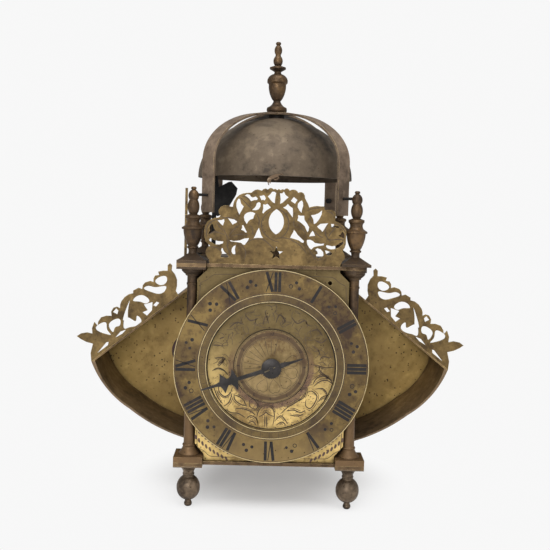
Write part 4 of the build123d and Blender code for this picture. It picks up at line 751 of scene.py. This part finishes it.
def discLines(mesh):
    s = discSet
    for radius, wide in s["circles"]:
        hoop(mesh, radius, wide, discSpot)
    for petal in range(s["petals"]):
        middle = math.radians(s["petalFirst"] + s["petalTurn"] * petal)
        stroke(mesh, [polar(reach, middle + turn) for reach, turn in s["petal"]], s["lineWide"], discSpot)
    for ray in range(s["rays"]):
        angle = math.radians(180 + 180 * ray / (s["rays"] - 1) + random.uniform(-s["raySway"], s["raySway"]))
        stroke(mesh, [polar(s["rayFrom"], angle), polar(s["rayTo"], angle)], s["rayWide"], discSpot)


def discNumbers(mesh):
    s = discSet
    for hour in range(1, 13):
        angle = math.radians(90 + 30 * hour)
        up, right = (math.cos(angle), math.sin(angle)), (math.sin(angle), -math.cos(angle))
        word = str(hour)
        for index, digit in enumerate(word):
            shift = (index - (len(word) - 1) / 2) * s["digitPitch"]
            for points in digitStrokes[digit]:
                stroke(mesh, [((s["numberReach"] + z) * up[0] + (x + shift) * right[0],
                               (s["numberReach"] + z) * up[1] + (x + shift) * right[1]) for x, z in points],
                       s["lineWide"], discSpot)


def discSpokes(mesh):
    s = discSet
    for spoke in range(s["spokes"]):
        angle = math.radians(s["spokeFirst"] + s["spokeTurn"] * spoke)
        stroke(mesh, [polar(reach, angle) for reach in s["spokeReach"]], s["spokeWide"], discSpot)


inked("disc_lines", discLines, "brownLine", "alarm")
inked("disc_spokes", discSpokes, "faintLine", "alarm")
inked("disc_numbers", discNumbers, "blackWax", "alarm")

# faint lines on the front fret, in mm from its foot, kept on the metal
fretLineWide = 0.8
fretStrokes = [
    [(-0.7, 46.7), (-5.7, 43.6), (-9.6, 39.6), (-11.3, 34.8), (-10.6, 29.5), (-8.1, 25.4), (-3.9, 21.9),
     (0.9, 19.7), (4.5, 19.2)],
    [(-26.4, 14.2), (-23.5, 17.7), (-19.4, 20.4), (-14.6, 21.4), (-9.9, 21.1), (-5.6, 18.2), (-2.6, 15.4),
     (-0.1, 13.1)], [(-29.7, 55.6), (-26.1, 52.2), (-22.5, 48.7), (-19.4, 45.9)],
    [(-29.8, 56.8), (-25, 55.8), (-21.4, 52.9), (-20.4, 51.2)],
    [(-45.4, 39.2), (-42.4, 38.1), (-37.6, 38.6), (-34.1, 37.8), (-29.3, 35.5)],
    [(-56.6, 21.1), (-57, 26.5), (-56.2, 30.6), (-53.6, 34.3), (-50.1, 36.1), (-45.9, 37.1)],
    [(-42.8, 29.8), (-41.5, 26.3), (-40, 23.3), (-39.3, 20.4)],
    [(-48.8, 34.4), (-45.8, 30.3), (-42.7, 27.4)],
    [(-55.2, 24.1), (-50.4, 26.3), (-45.7, 25.6), (-41.5, 23.9)],
    [(-29.2, 32.6), (-32.7, 30.1), (-36.2, 26.4), (-38.5, 22.8)],
    [(-21.9, 24.4), (-26.6, 24.9), (-31.4, 24.5), (-36.7, 22.8)],
    [(-38.4, 20.4), (-39.2, 16.8), (-38.9, 13.3), (-37, 9.1), (-35.7, 5.6)],
    [(-55.5, 13.4), (-51.4, 13.8), (-47.8, 13), (-45.3, 10.7)],
    [(-15.8, 42.4), (-13.9, 38.9), (-13.2, 35.4), (-13.7, 31.8)],
    [(-20.9, 32.8), (-18.4, 29.3), (-18.9, 24.5)], [(-28.8, 17.1), (-25.1, 13), (-23.9, 8.9), (-24.9, 4.1)],
    [(1.3, 47.3), (6.2, 44.7), (9.9, 40.7), (11.3, 36), (10.8, 30.1), (7.9, 25.2), (3.8, 22.1)],
    [(0.3, 22), (5, 22.8), (9.8, 22.6), (14.6, 20.9), (20.1, 17.8), (24.4, 13.7), (26.9, 10.2)],
    [(17.7, 36.2), (22, 32.2), (25.8, 26.9)], [(26.4, 45.9), (31.1, 47.8), (36.4, 48.6), (40, 49.3)],
    [(44, 34.5), (41.8, 29.7), (43.1, 25), (46.9, 20.3)], [(51.3, 32.3), (47.8, 29.3), (44.9, 25)],
    [(58.2, 22.4), (53.4, 22.9), (48, 22.1), (43.2, 22.6)], [(33.4, 29.5), (35.9, 26), (40.8, 23.7)],
    [(49.3, 36.5), (53.6, 34.8), (57.3, 31.3), (59.8, 26.6), (60, 21.9), (58.3, 17.6)],
    [(26.6, 18.6), (28.5, 13.8), (31.7, 9.7), (34.2, 6.2), (37.8, 5.1), (41.9, 7.6)],
    [(29.5, 42.5), (29, 38.9), (30.9, 35.4)], [(42.5, 45.8), (46.7, 44.7), (49.1, 41.8)],
    [(15.9, 38.5), (15.4, 33.8), (17.9, 31.4)]]


def fretLines(mesh):
    for points in fretStrokes:
        stroke(mesh, points, fretLineWide, fretSpot)


inked("fret_lines", fretLines, "faintFret", "frame")


# a frayed end of twine at the front of the bell's rim, in mm
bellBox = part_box("bell")
twineSet = {"aside": -3.0, "drop": 2.2}
twineSpot = {"x": twineSet["aside"], "z": bellBox[0][2] / mm - twineSet["drop"],
             "front": bellBox[0][1] / mm}
twineStrands = [
    {"wide": 1.9, "proud": 1.2, "sunk": 1.4, "points": [
        (-3.2, -4.2), (-3.9, -2.2), (-2.4, 0.2), (0.4, 1.6), (3.4, 2.8), (6.2, 3.0)]},
    {"wide": 1.5, "proud": 1.6, "sunk": 1.2, "points": [
        (-2.0, -4.6), (-2.0, -1.4), (0.2, 0.4), (3.0, 1.4), (5.0, 1.2)]},
    {"wide": 0.8, "proud": 0.9, "sunk": 0.3, "points": [(-3.4, -3.4), (-3.5, -4.8), (-2.7, -5.9)]},
    {"wide": 0.7, "proud": 0.7, "sunk": 1.0, "points": [(5.4, 2.8), (7.4, 3.8), (9.0, 2.8)]},
    {"wide": 1.2, "proud": 1.0, "sunk": 0.6, "points": [
        (0.6, -0.4), (2.4, -1.1), (4.4, -0.2), (5.2, 1.4)]}]


def twineTie(mesh):
    for strand in twineStrands:
        stroke(mesh, strand["points"], strand["wide"], {**twineSpot, **strand})


inked("twine_tie", twineTie, "oldTwine", "frame")
print("engraving drawn")


# the floor, the backdrop's colour and the soft lights
roomSet = {
    "floorSize": 6.0, "floor": rgb(252, 252, 252), "backdrop": 0.935, "worldStrength": 0.5,
    "worldColour": (1, 0.99, 0.97, 1), "sky": (-0.3, 0.8, 0.45, 1.0),  # dimmer below, full above
    "shadow": 0.74, "shadowReach": (0.04, 0.135),  # full to the first, gone by the second, in metres
    "lamps": [
        {"name": "overhead", "place": (0.0, -0.45, 1.4), "aim": (0, 0, 0.1), "size": 0.8, "power": 9.0},
        {"name": "front", "place": (-0.3, -1.8, 0.7), "aim": (0, 0, 0.18), "size": 1.1, "power": 15.0},
        {"name": "leftFront", "place": (-1.3, -0.9, 0.6), "aim": (0, 0, 0.2), "size": 0.7, "power": 1.3},
        {"name": "rightFront", "place": (1.3, -0.9, 0.6), "aim": (0, 0, 0.2), "size": 0.7, "power": 2.5}]}


def makeRoom(s):
    half = s["floorSize"] / 2
    mesh = bpy.data.meshes.new("floor")
    corners = [(-half, -half, 0), (half, -half, 0), (half, half, 0), (-half, half, 0)]
    mesh.from_pydata(corners, [], [(0, 1, 2, 3)])
    floor = bpy.data.objects.new("floor", mesh)
    bpy.context.scene.collection.objects.link(floor)
    material = bpy.data.materials.new("paleFloor")
    material.use_nodes = True
    tree = material.node_tree
    tree.nodes.remove(tree.nodes["Principled BSDF"])
    paint = put(tree, "BsdfDiffuse", {"Color": s["floor"]}).outputs[0]
    glow = put(tree, "Emission", {"Color": (1, 1, 1, 1), "Strength": s["backdrop"]}).outputs[0]
    seen = put(tree, "LightPath").outputs["Is Camera Ray"]
    place = put(tree, "TexCoord").outputs["Object"]
    away = put(tree, "VectorMath", {0: place}, operation="LENGTH").outputs["Value"]
    near = ramp(tree, away, s["shadowReach"][1], s["shadowReach"][0], 0.0, s["shadow"])
    share = math2(tree, "MULTIPLY", seen, math2(tree, "SUBTRACT", 1.0, near))
    mixed = put(tree, "MixShader", {0: share, 1: paint, 2: glow}).outputs[0]
    tree.links.new(mixed, tree.nodes["Material Output"].inputs["Surface"])
    mesh.materials.append(material)

    world = bpy.data.worlds.new("paleRoom")
    bpy.context.scene.world = world
    world.use_nodes = True
    tree = world.node_tree
    tree.nodes.clear()
    way = put(tree, "TexCoord").outputs["Generated"]
    lift = put(tree, "SeparateXYZ", {0: way}).outputs[2]
    sky = ramp(tree, lift, *s["sky"])
    lit = put(tree, "Background", {"Color": s["worldColour"],
                                   "Strength": math2(tree, "MULTIPLY", sky, s["worldStrength"])}).outputs[0]
    white = put(tree, "Background", {"Color": (1, 1, 1, 1), "Strength": s["backdrop"]}).outputs[0]
    seen = put(tree, "LightPath").outputs["Is Camera Ray"]
    mixed = put(tree, "MixShader", {0: seen, 1: lit, 2: white}).outputs[0]
    tree.links.new(mixed, put(tree, "OutputWorld").inputs["Surface"])

    for lamp in s["lamps"]:
        data = bpy.data.lights.new(lamp["name"], "AREA")
        data.size = lamp["size"]
        data.energy = lamp["power"]
        light = bpy.data.objects.new(lamp["name"], data)
        bpy.context.scene.collection.objects.link(light)
        light.location = lamp["place"]
        aim = Vector(lamp["aim"]) - Vector(lamp["place"])
        light.rotation_euler = aim.to_track_quat("-Z", "Y").to_euler()


makeRoom(roomSet)
bpy.context.scene.view_settings.view_transform = "Standard"
print("room lit")
